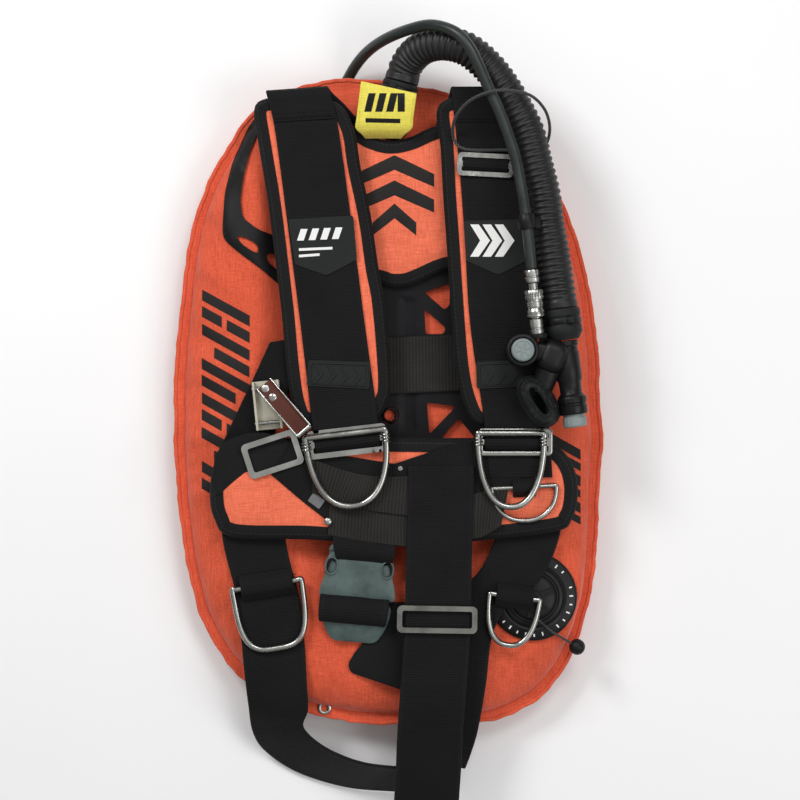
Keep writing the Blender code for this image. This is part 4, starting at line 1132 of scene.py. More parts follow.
def between(left, right, margin=0.0):
    """Tells whether a point lies under webbing whose two edges are (x, y, ...) lists."""
    ys = [p[1] for p in left][::-1]
    lows, highs = [p[0] for p in left][::-1], [p[0] for p in right][::-1]
    return lambda x, y: np.interp(y, ys, lows) - margin < x < np.interp(y, ys, highs) + margin


WEB_LEFT = [
    ((-71, 139, 29.4), (-21, 139, 29.4)), ((-74, 141, 36), (-24, 141, 36)), ((-84, 152, 43), (-35, 153, 43)),
    ((-94, 159, 47), (-45, 162, 47)), ((-96.5, 162, 53.5), (-48, 165.5, 53.5)),
    ((-95, 156, WEB_Z), (-46, 159, WEB_Z)), ((-89, 130, WEB_Z), (-39.5, 130, WEB_Z)),
    ((-77, 39, WEB_Z), (-27, 39, WEB_Z)), ((-69, -23, WEB_Z), (-19, -23, WEB_Z)),
    ((-62, -84, WEB_Z), (-11, -80, WEB_Z)), ((-60, -104, WEB_END_Z), (-9, -100, WEB_END_Z)),
    ((-59, -121, WEB_END_Z), (-8, -118, WEB_END_Z)),
]
WEB_RIGHT = [
    ((40, 139, 29.4), (91, 139, 29.4)), ((41, 141, 36), (91, 141, 36)), ((43, 150, 43), (94, 150, 43)),
    ((46, 160, 47), (97, 160, 47)), ((47, 164, 53.5), (98, 164, 53.5)), ((48, 158, WEB_Z), (98, 158, WEB_Z)),
    ((54, 101, WEB_Z), (104, 101, WEB_Z)), ((58, 47, WEB_Z), (108, 47, WEB_Z)),
    ((62, -17, WEB_Z), (112, -17, WEB_Z)), ((71, -80, WEB_Z), (121, -80, WEB_Z)),
    ((74, -104, WEB_END_Z), (124, -104, WEB_END_Z)), ((76, -138, WEB_END_Z), (126, -138, WEB_END_Z)),
]
under_left = between([s[0] for s in WEB_LEFT[5:]], [s[1] for s in WEB_LEFT[5:]], 1.0)
under_right = between([s[0] for s in WEB_RIGHT[5:]], [s[1] for s in WEB_RIGHT[5:]], 1.0)

HIP_PATCH = [
    (-129, -110), (-112, -104), (-98, -103), (-84, -107), (-74, -112), (-78, -127), (-97, -137), (-110, -132),
    (-124, -143.5), (-134, -153), (-138, -140), (-136, -122),
]
back_pad = pad("back_pad_foam", BACK_PAD, BACK_PAD_Z, "back_pad", rise=2.4, bind=9.5, seed=1)
lumbar_pad = pad(
    "lumbar_pad_foam", LUMBAR, LUMBAR_Z, "lumbar_pad", rise=2.2, bind=10.0, seed=4,
    pressed=lambda x, y: -92 < x < 136 and y > -190 or inside((x, y), HIP_PATCH),
)
pad("shoulder_pad_foam_left", PAD_LEFT, PAD_Z, "shoulder_pad_left", rise=1.8, pressed=under_left, seed=7)
pad("shoulder_pad_foam_right", PAD_RIGHT, PAD_Z, "shoulder_pad_right", rise=1.8, pressed=under_right, seed=11)
strap("shoulder_strap_left", WEB_LEFT, node="shoulder_webbing_left")
strap("shoulder_strap_right", WEB_RIGHT, node="shoulder_webbing_right")


def film(name, outline, z, look, thick, holes=(), slot=None, grid=None):
    """A thin flat patch whose top edge is softened."""
    mesh = sheet_mesh(
        outline, lambda x, y, d: z, lambda x, y, d: z + thick * (0.55 + 0.45 * blend(0, 0.8, d)), holes, grid
    )
    return place(name, mesh, look, slot=slot)


def chevron(wide, tall, thick):
    """An arrow head pointing up, its tip at the origin's top."""
    return [
        (0, tall / 2), (wide / 2, -tall / 2 + thick / 2), (wide / 2, -tall / 2 - thick / 2),
        (0, tall / 2 - thick * 1.15), (-wide / 2, -tall / 2 - thick / 2), (-wide / 2, -tall / 2 + thick / 2),
    ]


# Back pad print: stacked arrow heads in dark film
on_back_pad = top_of(back_pad, BACK_PAD_Z[1])
for k, (wide, y) in enumerate(((62, 104), (62, 84), (34, 66))):
    shape = [(3.5 + px, y + py) for px, py in chevron(wide, 20, 10)]
    draped_film(f"back_pad_print_{k}", dense(shape), "film", lift=0.3, thick=0.35, grid=2.5, over=on_back_pad)

# Label patches on the shoulder webbing, with generic slanted marks
PATCH_Z = WEB_Z + WEB_THICK / 2 + 0.25
PATCHES = {
    "left": [(-79, 62), (-28.5, 65), (-25.5, 31), (-49, 18.5), (-73.5, 27)],
    "right": [(57, 61), (108, 62), (110, 32), (84, 19), (59, 30)],
}
for side, outline in PATCHES.items():
    film(f"label_patch_{side}", dense(rounded_corners(outline, 2.0)), PATCH_Z, "matt", 1.1,
        slot="black_rubber")
MARK_Z = PATCH_Z + 1.1
for k in range(4):
    bar = [(0, 0), (5.2, 0), (8.2, 9), (3.0, 9)]
    film(f"label_mark_left_{k}", [(-72 + 9 * k + x, 45.5 + 1.2 * k / 3 + y) for x, y in bar], MARK_Z, "white",
        0.12)
for k, wide in enumerate((26, 16)):
    bar = [(0, 0), (wide, 1.2), (wide, 3.2), (0, 2.0)]
    film(f"label_line_left_{k}", [(-70.5 + x, 37.5 - 5 * k + y) for x, y in bar], MARK_Z, "white", 0.12)
for k in range(3):
    arrow = turned_about((71.5 + 9.5 * k, 45.5), -90, chevron(25, 12, 6.6))
    film(f"label_mark_right_{k}", arrow, MARK_Z, "white", 0.12)

# Rubber keepers near the foot of each pad, moulded with chevrons
KEEPERS = {
    "left": ((-40, -58.5), -3.5, [(-24, -10), (24.5, -9.5), (24.5, 11.5), (-24, 10)]),
    "right": ((91.5, -58.0), 2.0, [(-24.5, -10.5), (24, -10), (24, 10.5), (-24.5, 10.5)]),
}
for side, (spot, tilt, outline) in KEEPERS.items():
    ring = dense(turned_about(spot, tilt, rounded_corners(outline, 2.0)))
    film(f"rubber_keeper_{side}", ring, PATCH_Z, "matt", 1.3, slot="black_rubber")
    frame_ring = rounded_corners([(x * 0.93, y * 0.86) for x, y in outline], 1.6)
    inner_ring = [(x * 0.95, y * 0.9) for x, y in frame_ring]
    film(
        f"keeper_rim_{side}", turned_about(spot, tilt, frame_ring), PATCH_Z + 1.25, "matt", 0.5,
        [turned_about(spot, tilt, inner_ring)],
    )
    for k in range(4):
        arrow = turned_about((-15 + 10.0 * k, 0), -90, chevron(15, 7, 2.4))
        film(f"keeper_arrow_{side}_{k}", turned_about(spot, tilt, arrow), PATCH_Z + 1.25, "matt", 0.5)

# Yellow collar tab
TAB = [(127.5, 41.2), (130, 47), (134, 51.5), (142, 54.5), (152, 56.5), (160, 58), (168, 58.6), (172, 57.5)]


def tab_edges(y, z):
    """The tab narrows towards its rounded lower edge."""
    tuck = 8.0 * (1 - blend(127, 134, y))
    high = max(0.0, y - 138)
    left = (-27.5 + tuck + 0.12 * (y - 130), y - 0.08 * high, z)
    return left, (17 - tuck + 0.09 * (y - 130), y - 0.36 * high, z)


M["yellow"] = cordura("tab_fabric", (0.76, 0.66, 0.085), (0.62, 0.52, 0.05), 0.6)
tab = strap("collar_tab", [tab_edges(y, z) for y, z in TAB], "yellow", "label_tab", "yellow_tab", 1.3, 2.0,
    0.5)
on_tab = surface(tab.data, 55.0)
tab_bar = [(-20, 146), (-14.5, 146), (-11, 160), (-16.5, 160)]
tab_shapes = [[(x + 8.5 * k, y) for x, y in tab_bar] for k in range(3)]
tab_shapes += [[(-19, 138), (8, 137.4), (8, 140.6), (-19, 141.2)],
    [(6, 146), (11.5, 146), (11.5, 160), (6, 160)]]
for k, shape in enumerate(tab_shapes):
    mesh = sheet_mesh(
        dense(shape), lambda x, y, d: on_tab(x, y) + 0.05, lambda x, y, d: on_tab(x, y) + 0.3, grid=3
    )
    place(f"tab_print_{k}", mesh, "black")
stitches("tab_seam_left", [(x1 + 2, y, z + 0.9) for (x1, y, z), _ in (tab_edges(y, z) for y, z in TAB[2:])],
    "yellow")
stitches("tab_seam_right", [(x2 - 2, y, z + 0.9) for _, (x2, y, z) in (tab_edges(y, z) for y, z in TAB[2:])],
    "yellow")


# The shoulder webbing is doubled over at its top and sewn down
for side, stations in (("left", WEB_LEFT), ("right", WEB_RIGHT)):
    (x1, y1, _), (x2, y2, _) = stations[5]
    (x3, _, _), (x4, _, _) = stations[6]
    fold = []
    for y, lift in ((137.5, 1.6), (141, 2.4), (150, 2.4), (y1 + 0.5, 2.2), (y1 + 4.5, 0.8)):
        t = (y1 - y) / (y1 - stations[6][0][1])
        fold.append(((x1 + (x3 - x1) * t + 0.5, y, WEB_Z + lift),
            (x2 + (x4 - x2) * t - 0.5, y + y2 - y1, WEB_Z + lift)))
    strap(f"shoulder_fold_{side}", fold, thick=1.3, step=2.0)
    for k, y in enumerate((140.0, 143.5)):
        t = (y1 - y) / (y1 - stations[6][0][1])
        left, right = x1 + (x3 - x1) * t + 2.5, x2 + (x4 - x2) * t - 2.5
        stitches(f"shoulder_seam_{side}_{k}", [(left, y, WEB_Z + 3.3), (right, y + y2 - y1, WEB_Z + 3.3)],
            "bind", radius=0.45)


# Waist belts, hip strap, the ribbed wrap and the crotch strap
BELT_Z, WRAP_Z = 46.8, LUMBAR_Z[1] + 2.0
BELT_LEFT = [
    ((-134, -160, BELT_Z), (-84, -164, BELT_Z)), ((-130, -192, BELT_Z), (-80, -196, BELT_Z)),
    ((-121, -228, BELT_Z), (-71, -232, BELT_Z)), ((-117, -258, BELT_Z), (-67, -264, BELT_Z)),
    ((-114, -290, BELT_Z), (-65, -298, BELT_Z)), ((-111, -318, 42), (-64, -320, 46)),
    ((-109, -340, 24), (-68, -334, 40)), ((-100, -358, 8), (-58, -346, 38)),
    ((-74, -376, 3), (-40, -356, 40)), ((-34, -388, 3), (-16, -363, 43)), ((14, -392, 3), (16, -366, 44)),
]
BELT_RIGHT = [
    ((84, -162, BELT_Z), (134, -162, BELT_Z)), ((82, -186, BELT_Z + 1), (132, -186, BELT_Z + 1)),
    ((69, -212, 51), (118, -217, 51)), ((49, -230, 51), (97, -233, 51)),
    ((36, -252, 50.5), (84.5, -250, 50.5)), ((29, -272, 50), (78.5, -268, 50)),
    ((25, -296, 48), (75, -300, 48)), ((22, -330, 43), (69, -336, 43)), ((22, -350, 32), (64, -356, 32)),
    ((24, -364, 19), (60, -370, 19)),
]
strap("belt_left_woven", BELT_LEFT, node="waist_belt_left")
strap("belt_right_woven", BELT_RIGHT, node="waist_belt_right")
strap(
    "hip_strap_woven",
    [((-94, -33, BELT_Z), (-66, -28, BELT_Z)), ((-104, -55, BELT_Z), (-72, -50, BELT_Z)),
     ((-116, -80, BELT_Z), (-79, -70, BELT_Z)), ((-134, -118, BELT_Z), (-90, -104, BELT_Z))],
    node="hip_strap_left",
)
strap(
    "slide_strap",
    [((-92, -136, WRAP_Z - 0.6), (-74, -108, WRAP_Z - 0.6)),
     ((-66, -158, WRAP_Z - 0.6), (-50, -124, WRAP_Z - 0.6)),
     ((-45, -174, WRAP_Z - 0.6), (-26, -136, WRAP_Z - 0.6))],
    thick=1.8,
)
draped_film(
    "hip_strap_patch", dense(rounded_corners(HIP_PATCH, 5)), "web", lift=0.3, thick=0.4, grid=3.0,
    slot="black_webbing",
    over=top_of(lumbar_pad, LUMBAR_Z[1] - 0.2),
)
strap(
    "belt_crossing",
    [((2, -164, 60.2), (2, -128, 60.2)), ((20, -158, 60.4), (20, -122, 60.4)),
     ((44, -150, 60.5), (44, -114, 60.5)), ((76, -140, 60.2), (74, -106, 60.2))],
    thick=1.6,
)
WRAP_LAYERS = [
    ("black", "web", [((-62, -148, 60.0), (-58, -118, 60.0)), ((-20, -158, 60.0), (-18, -124, 60.0)),
                      ((12, -160, 60.0), (12, -129, 60.0))], 1.6),
    ("lower", "rib_web", [((-48, -183, 60.4), (-46, -150, 60.4)), ((-20, -188, 60.4), (-18, -154, 60.4)),
                          ((14, -192, 60.4), (14, -163, 60.4))], 1.6),
    ("upper", "rib_web", [((-60, -150, 62.2), (-60, -124, 62.2)), ((-40, -158, 62.4), (-30, -134, 62.4)),
                          ((-14, -164, 62.4), (-10, -137, 62.4)), ((14, -168, 62.2), (16, -137, 62.2))], 1.6),
    ("right_upper", "web", [((62, -160, 60.4), (60, -128, 60.4)), ((74, -156, 60.4), (84, -121, 60.4)),
                            ((100, -140, 60.4), (110, -112, 60.4))], 1.6),
    ("right_lower", "rib_web", [((62, -186, 61.6), (60, -152, 61.6)), ((72, -184, 61.6), (76, -148, 61.6)),
                                ((86, -176, 61.6), (92, -146, 61.6))], 1.8),
]
for k, (label, look, stations, thick) in enumerate(WRAP_LAYERS):
    strap(f"belt_wrap_{label}", stations, look, "belt_wrap" if k == 2 else (), thick=thick, step=2.5)
strap(
    "buckle_webbing_fold",
    [((-45, -181, 58.6), (4, -188, 58.6)), ((-44, -190, 60.6), (4, -196, 60.6)),
     ((-43, -196, 60.2), (3, -201, 60.2)), ((-42, -201, 57), (2, -205, 57))],
    thick=2.0,
)
strap(
    "buckle_webbing_tail",
    [((-54, -228.5, 54.5), (0, -233.5, 54.5)), ((-54.5, -231, 58.4), (-0.5, -236, 58.4)),
     ((-55, -236, 60.4), (-1, -241, 60.4)), ((-55.5, -242, 60.6), (-2, -247, 60.6)),
     ((-55.5, -247, 58.4), (-3, -252, 58.4)), ((-55.5, -249, 54.5), (-3.5, -254, 54.5))],
    thick=2.2,
    body="side_release_male",
)
CROTCH_Z = WRAP_Z + 3.2
CROTCH = [
    (39.5, -129.5, CROTCH_Z - 3.6), (39.5, -131, CROTCH_Z - 0.4), (39.5, -136, CROTCH_Z),
    (38, -200, CROTCH_Z),
    (36.5, -260, CROTCH_Z - 1), (33, -310, CROTCH_Z - 4), (31, -340, 55), (30, -366, 49), (29, -384, 44),
    (28.5, -393, 41),
]
strap("crotch_strap_woven", [((x - 25.5, y, z), (x + 25.5, y, z)) for x, y, z in CROTCH], node="crotch_strap")
FLAP = [(-2, -236), (-9, -257), (-26, -273), (-33, -284), (-31, -291), (10, -305), (28, -307), (28, -236)]
film("belt_end_flap", dense(rounded_corners(FLAP, 4)), 45.2, "web", 2.6, slot="black_webbing", grid=5)
stitches("flap_seam", [(4, -287.5, 47.5), (15, -289.5, 47.5), (26, -291, 47.5)])
tag = rounded_corners([(-5.5, -4), (5.5, -4), (5.5, 4), (-5.5, 4)], 1)
film("belt_size_tag", turned_about((-57, -156), -36, tag), WRAP_Z + 0.9, "silver_grey", 1.0)
for k, (spot, size) in enumerate((((-48, -172), 3.0), ((8, -131), 2.2))):
    rivet = lathe([(0, 0), (size, 0), (size, 0.5), (size * 0.8, 1.1), (0, 1.5)],
        (*spot, 61.0 + 2.2 * (k == 0)), sides=24)
    place(f"belt_rivet_{k}", rivet, "steel", slot="polished_steel")
stitches("hip_bar_seam", [(-121, -223, 49.6), (-71, -213.5, 49.6)], "bind", long=3.4)


# ================================================================ steel hardware


def d_shape(half, depth, power=2.3, count=44):
    """A D: its straight bar on the x axis and its bow reaching to -depth."""
    bow = []
    for k in range(count + 1):
        a = math.pi + math.pi * k / count
        c, s = math.cos(a), math.sin(a)
        bow.append((half * math.copysign(abs(c) ** (2 / power), c), -depth * abs(s) ** (2 / power)))
    return bow + [(half * (0.9 - 0.2 * k), 0) for k in range(10)]


def ring_with_coils(name, spot, angle, half, depth, radius, power, coils=True):
    """A welded D-ring on its own body, with the small turns of wire beside its bar."""
    outline = turned_about(spot[:2], angle, d_shape(half, depth, power))
    line = smooth_line([(x, y, spot[2]) for x, y in outline], 1.1, closed=True)
    bar = sweep(line, circle(radius, 16), closed=True)
    place(f"{name}_welded", bar, "steel", name, name, "polished_steel", 0)
    if coils:
        for side in (-1, 1):
            for k in range(3):
                x, y = turned_about(spot[:2], angle, [(side * half * 0.993, -4.2 - 2.5 * k)])[0]
                turn = sweep([(x + (radius + 0.5) * a, y, spot[2] + (radius + 0.5) * b)
                             for a, b in circle(1.0, 20)], circle(0.75, 8), closed=True, up=(0, 1, 0))
                place(f"{name}_coil_{(side + 1) // 2}_{k}", turn, "steel", name, slot="polished_steel")


RING_Z = 67.8
ring_with_coils("d_ring_left", (-34.5, -104, RING_Z), 6.6, 31, 56, 2.6, 2.3)
ring_with_coils("d_ring_right", (93.5, -103.5, RING_Z), 0, 25.5, 57, 2.6, 2.3)
ring_with_coils("hip_ring_left", (-96, -222, BELT_Z + 4.4), 9, 27, 50, 2.4, 3.4, False)
ring_with_coils("hip_ring_right", (97, -231, 55.6), -8, 19.5, 38, 2.2, 2.4, False)
ring_with_coils("bail_ring", (104, -145.5, 60.9), 3, 25, 26, 1.9, 2.2, False)


def slide(name, centre, angle, half_x, half_y, z_range, bar, middle_bar, body=VEST, node=(), look="steel"):
    """A flat webbing slide with one slot, or two with a middle bar, and rounded edges."""
    half_slot = half_y - bar
    slots = [round_box(half_x - bar, half_slot, 1.6, 3)]
    if middle_bar:
        reach = (half_slot - bar / 2) / 2
        slot = round_box(half_x - bar, reach, 1.2, 3)
        slots = [[(x, y + s * (bar / 2 + reach)) for x, y in slot] for s in (1, -1)]
    low, high = z_range
    mesh = sheet_mesh(
        dense(turned_about(centre, angle, round_box(half_x, half_y, 4.0, 5)), 2.5),
        lambda x, y, d: low,
        lambda x, y, d: high,
        [dense(turned_about(centre, angle, s), 2.5) for s in slots],
    )
    piece = place(name, mesh, look, body, node, "polished_steel", 40)
    return bevel(piece, min(1.15, (high - low) * 0.42), 3, 50)


SLIDE_Z = (WEB_END_Z + WEB_THICK / 2 + 0.5, WEB_END_Z + WEB_THICK / 2 + 3.2)
slide("triglide_left_polished", (-33, -110), 6.6, 31, 11, SLIDE_Z, 4.2, True, node="triglide_left")
slide("triglide_right_polished", (97, -110.5), 0, 29, 11, SLIDE_Z, 4.2, True, node="triglide_right")
slide("upper_slide_polished", (74, 104), -3, 22, 9, (WEB_Z + 1.7, WEB_Z + 4.2), 3.6, True, node="upper_slide")
slide(
    "crotch_triglide_polished", (36.5, -247.5), -1, 31, 10.5, (CROTCH_Z + 1.8, CROTCH_Z + 4.6), 4, False,
    "crotch_triglide", "crotch_triglide", "satin",
)
slide(
    "square_slide_polished", (-91, -120), 18, 22, 14, (LUMBAR_Z[1] + 0.6, LUMBAR_Z[1] + 4.4), 4.4, False,
    node="square_slide",
)


def over_bar(name, centre, angle, half, reach, low, rise):
    """Webbing passing over a slide's middle bar, as a short hump."""
    stations = []
    for share, lift in ((1, 0), (0.6, 0.7), (0.3, 1), (-0.3, 1), (-0.6, 0.7), (-1, 0)):
        ends = turned_about(centre, angle, [(-half, reach * share), (half, reach * share)])
        stations.append(tuple((*end, low + rise * lift) for end in ends))
    return strap(name, stations, thick=1.6, step=0.8, sway=0.1)


over_bar("triglide_wrap_left", (-33, -110), 6.6, 25.5, 6.2, SLIDE_Z[0] - 0.8, 4.2)
over_bar("triglide_wrap_right", (97, -110.5), 0, 24, 6.2, SLIDE_Z[0] - 0.8, 4.2)
over_bar("upper_slide_wrap", (74, 104), -3, 17.6, 4.9, WEB_Z + 1.9, 3.4)
over_bar("hip_ring_loop_left", (-96, -222), 9, 20.5, 9.5, BELT_Z + 2.6, 5.6)
over_bar("hip_ring_loop_right", (97, -231), -8, 14.5, 8.5, 53.6, 5.3)
over_bar("bail_loop", (104, -145.5), 3, 9, 7, LUMBAR_Z[1] + 0.6, 5.4)


def block(centre, size, direction=(1, 0, 0), edge=1.0, segments=3):
    """A machined or moulded block with rounded edges, its length along direction."""
    work = bmesh.new()
    bmesh.ops.create_cube(work, size=1.0, matrix=Matrix.Diagonal((*size, 1.0)))
    bmesh.ops.bevel(work, geom=work.edges[:], offset=edge, segments=segments, profile=0.5, affect="EDGES")
    turn = Vector(direction).to_track_quat("X", "Z").to_matrix().to_4x4()
    work.transform(Matrix.Translation(Vector(centre)) @ turn)
    mesh = bpy.data.meshes.new("piece")
    work.to_mesh(mesh)
    work.free()
    return mesh


# Lever buckle: cream steel frame, raised lever on its pin
BUCKLE_RUN = Vector((0.1, -1, 0)).normalized()
BUCKLE_SIDE = Vector((1, 0.1, 0)).normalized()
place("waist_frame_base", block((-95, -82, 52.2), (38, 21, 7.2), BUCKLE_RUN, 0.8), "cream",
      node="waist_buckle_frame", slot="polished_steel")
for side in (-1, 1):
    spot = Vector((-95, -82, 57.8)) + BUCKLE_SIDE * side * 9.4
    place(f"waist_frame_cheek_{(side + 1) // 2}", block(spot, (38, 2.0, 9.4), BUCKLE_RUN, 0.6), "cream",
          slot="polished_steel")
for k, y in enumerate((-68.5, -95.5)):
    rod = sweep([Vector((-95, -82, 59.5)) + BUCKLE_RUN * (-82 - y) + BUCKLE_SIDE * s for s in (-11, 11)],
                circle(1.5, 16), up=(0, 0, 1))
    place(f"waist_frame_rod_{k}", rod, "steel", slot="polished_steel")
LEVER_PIVOT = Vector((-97.0, -66.0, 65.0))
LEVER_RUN = Vector((33.0, -38.0, 12.0))
lever_side = Vector((38.0, 33.0, 0.0)).normalized()
lever_stations = []
for t in (0.0, 0.25, 0.5, 0.75, 0.94):
    spot = LEVER_PIVOT + LEVER_RUN * t + Vector((0, 0, 1.6 * math.sin(math.pi * t)))
    lever_stations.append((spot - lever_side * 6.4, spot + lever_side * 6.4))
strap("waist_lever_plate", lever_stations, "copper", "waist_buckle_lever", "polished_steel", 2.2, 2.0, 0.0,
      "waist_buckle_lever")
for side in (-1, 1):
    edge = [(a + b) / 2 + lever_side * side * 6.6 + Vector((0, 0, 1.0)) for a, b in lever_stations]
    rail = sweep(smooth_line(edge, 2.0), round_box(0.7, 2.2, 0.5, 2))
    place(f"waist_lever_rail_{(side + 1) // 2}", rail, "steel", "waist_buckle_lever", slot="polished_steel")
tip = sweep([lever_stations[-1][0], lever_stations[-1][1]], circle(1.9, 16))
place("waist_lever_tip", tip, "steel", "waist_buckle_lever", slot="polished_steel")
for k, t in enumerate((0.06, 0.24)):
    head = lathe([(0, 0), (2.9, 0), (3.1, 0.5), (2.9, 1.2), (1.6, 1.7), (0, 1.8)],
                 LEVER_PIVOT + LEVER_RUN * t - lever_side * 1.5 + Vector((0, 0, 1.6)), sides=28)
    place(f"waist_lever_pin_{k}", head, "steel", "waist_buckle_lever", slot="polished_steel")

# Side-release buckle, in its own frame: +y up the vest, tilted a little
BUCKLE_AT, BUCKLE_TILT, BUCKLE_LOW, BUCKLE_HIGH = (-24.0, -212.0), -5.0, 46.0, 58.0


def buckle_part(name, outline, low, high, body, crown=0.0, holes=(), node=(), look="buckle", grid=3.0,
    fall=0.0):
    """One moulded layer of the buckle; fall slopes its top down towards the webbing end."""
    top_y = max(y for _, y in outline)

    def top(x, y, d):
        back = (x - BUCKLE_AT[0], y - BUCKLE_AT[1])
        ly = back[0] * math.sin(math.radians(-BUCKLE_TILT)) + back[1] * math.cos(math.radians(BUCKLE_TILT))
        return high + crown * (blend(0, 14, d) - 1) - fall * blend(0, 1,
            (top_y - ly) / 34) - 0.9 * (1 - blend(0, 1.6, d))

    turned = lambda ring: turned_about(BUCKLE_AT, BUCKLE_TILT, ring)
    mesh = sheet_mesh(dense(turned(outline), 1.6), lambda x, y, d: low, top, [turned(h) for h in holes], grid)
    return place(name, mesh, look, body, node, "buckle_plastic", 40)


FEMALE = rounded_corners([(-22, 21), (22, 21), (23, 14), (27.5, 6), (26, -3), (29, -12), (30, -21),
                          (-30, -21), (-29, -12), (-26, -3), (-27.5, 6), (-23, 14)], 4, 5)
WINDOWS = [[(s * 21.6 + x, 3.5 + y) for x, y in oval(4.6, 6.6, 24, 2.2)] for s in (-1, 1)]
buckle_part("buckle_socket_cover", FEMALE, 55.4, BUCKLE_HIGH, VEST, 1.2, WINDOWS, "side_release_female")
buckle_part("buckle_socket_floor", FEMALE, BUCKLE_LOW, 48.4, VEST)
buckle_part("buckle_socket_head", rounded_corners([(-23, 20.5), (23, 20.5), (25, 12), (-25, 12)], 2), 48.3,
    55.6, VEST)
buckle_part("buckle_socket_rib", rounded_corners([(-24, 19), (24, 19), (25, 15.5), (-25, 15.5)], 1.5), 57.0,
    58.9, VEST)
MALE = rounded_corners([(-27, -23.5), (27, -23.5), (27, -34), (23, -46), (17, -55), (-17, -55), (-23, -46),
    (-27, -34)], 5, 5)
buckle_part("buckle_plug_body", MALE, 46.6, 57.4, "side_release_male", 1.6, node="side_release_male",
    fall=5.5)
# Under each window lies a black sheet of painted shade, standing in for the shadow inside the buckle's ear
# hole; a moulded lip runs round each window.
for k, (side, ear) in enumerate(((-1, WINDOWS[0]), (1, WINDOWS[1]))):
    buckle_part(f"buckle_ear_{k}", ear, 48.6, 50.2, VEST, look="black")
    lip = [(*p, 57.6) for p in turned_about(BUCKLE_AT, BUCKLE_TILT, [(x + side * 0.2, y) for x, y in ear])]
    place(f"buckle_ear_lip_{k}", sweep(smooth_line(lip, 1.0, closed=True), circle(0.8, 10), closed=True),
        "buckle")
for k, outline in enumerate(
    ([(-22.5, -26), (-13.5, -26), (-14.5, 4), (-22, 8), (-24.5, 0)],
     [(-2.5, -26), (2.5, -26), (2.2, 1), (-2.2, 1)], [(13.5, -26), (22.5, -26), (24.5, 0), (22, 8),
         (14.5, 4)])
):
    buckle_part(f"buckle_prong_{k}", rounded_corners(outline, 2), 49.4, 54.6, "side_release_male")


# ================================================================ inflator

HOUSING_AT = Vector((101.0, -40.0, 66.0))
CUFF_SHAPE = [
    (0, 0), (12.6, 0), (13.4, 0.4), (14.0, 1.2), (14.1, 4), (13.6, 4.6), (13.4, 5), (13.4, 8), (13.7, 8.5),
    (14.1, 9), (14.1, 12), (13.6, 12.8), (12.4, 13), (0, 13),
]
place("cuff_upper_moulded", lathe(CUFF_SHAPE, CUFF_AT, CUFF_DIR), "matt",
      node="hose_cuff_upper", slot="black_rubber")
LOWER_SHAPE = [
    (0, 0), (13.4, 0), (14.1, 0.5), (14.5, 1.5), (14.5, 5.6), (13.9, 6.3), (13.8, 7), (13.8, 12.4),
    (14.1, 13), (14.5, 13.7), (14.5, 18.4), (14.0, 19.4), (12.4, 22), (11.4, 24), (0, 24),
]
place("cuff_lower_moulded", lathe(LOWER_SHAPE, LOWER_CUFF_AT, INFLATOR_DIR), "matt",
      node="hose_cuff_lower", slot="black_rubber")


def cable_tie(name, spot, direction, radius):
    """A narrow nylon tie with its locking head."""
    band = [(radius, -1.9), (radius + 0.9, -1.9), (radius + 1.1, -1.5), (radius + 1.1, 1.5),
        (radius + 0.9, 1.9), (radius, 1.9)]
    place(name, lathe(band, spot, direction, 48), "black")
    side = Vector(direction).cross(Vector((0, 0, 1))).normalized()
    out = (side * -0.35 + Vector((0, 0, 1))).normalized()
    place(f"{name}_head", block(Vector(spot) + out * (radius + 1.6), (4.6, 5.4, 3.0), direction, 0.7),
        "black")


cable_tie("tie_upper", CUFF_AT + CUFF_DIR * 6.5, CUFF_DIR, 13.4)
cable_tie("tie_lower", LOWER_CUFF_AT + INFLATOR_DIR * 9.7, INFLATOR_DIR, 13.8)

elbow_flange = [
    (0, 0), (14.5, 0), (14.7, 0.6), (14.5, 3.0), (13.8, 3.6), (11.6, 3.8), (11.0, 4.6), (11.0, 13),
    (10.3, 16), (8.4, 19), (5.2, 20.7), (0, 21.2),
]
ELBOW_AT = (2.0, 142.0, 27.6)
place(
    "elbow_moulded",
    lathe(elbow_flange, ELBOW_AT, sides=60, shape=lambda a, r,
        h: 1 + 0.02 * (math.sin(12 * a) > 0) * (h < 3.5)),
    "black", node="elbow", slot="black_plastic",
)
arm = [(0, 0), (8.6, 0), (8.8, 5), (9.6, 6), (9.6, 8), (8.8, 9), (8.8, 15.6), (0, 15.6)]
place("elbow_arm", lathe(arm, CUFF_AT - CUFF_DIR * 16, CUFF_DIR), "black")

BODY_AT, BODY_LONG = LOWER_CUFF_AT + INFLATOR_DIR * 24.6, 57.0
BARREL = [
    (0, 0), (9.4, 0), (10.0, 0.6), (10.0, 4), (9.0, 5), (9.0, 8.5), (9.8, 9.5), (9.8, 30), (8.6, 32),
    (8.4, 40.5), (9.6, 42.5), (10.6, 43.4), (10.9, 45), (10.9, 48), (10.2, 48.6), (10.2, 50), (10.9, 50.6),
    (10.9, BODY_LONG - 0.8), (10.3, BODY_LONG), (9.5, BODY_LONG), (9.25, BODY_LONG - 0.6),
    (9.25, BODY_LONG - 10), (0, BODY_LONG - 10),
]
place("inflator_barrel", lathe(BARREL, BODY_AT, INFLATOR_DIR, 60,
      lambda a, r, h: 1 + 0.018 * math.sin(18 * a) if 43 < h < 56 and r > 9.5 else 1.0), "black",
      node="inflator_body", slot="black_plastic")
HOUSING = [
    (0, 0), (10.9, 0), (11.5, 0.6), (12.2, 2.4), (12.7, 4), (12.7, 27.5), (12.3, 29.3), (11.4, 30),
    (10.0, 30), (9.3, 29.4), (9.3, 22.5), (0, 22.5),
]
place("inflator_housing", lathe(HOUSING, HOUSING_AT), "black")
place("inflator_block", block((124.2, -44.5, HOSE_Z + 3), (23, 27, 25), (0.92, -0.39, 0), 9.5, 8), "black")
bridge = sweep(smooth_line([(HOUSING_AT.x + 11.2, -40.5, 83), (118, -42, 83), (124, -44, 84)], 2),
    round_box(7.5, 8.5, 4, 4))
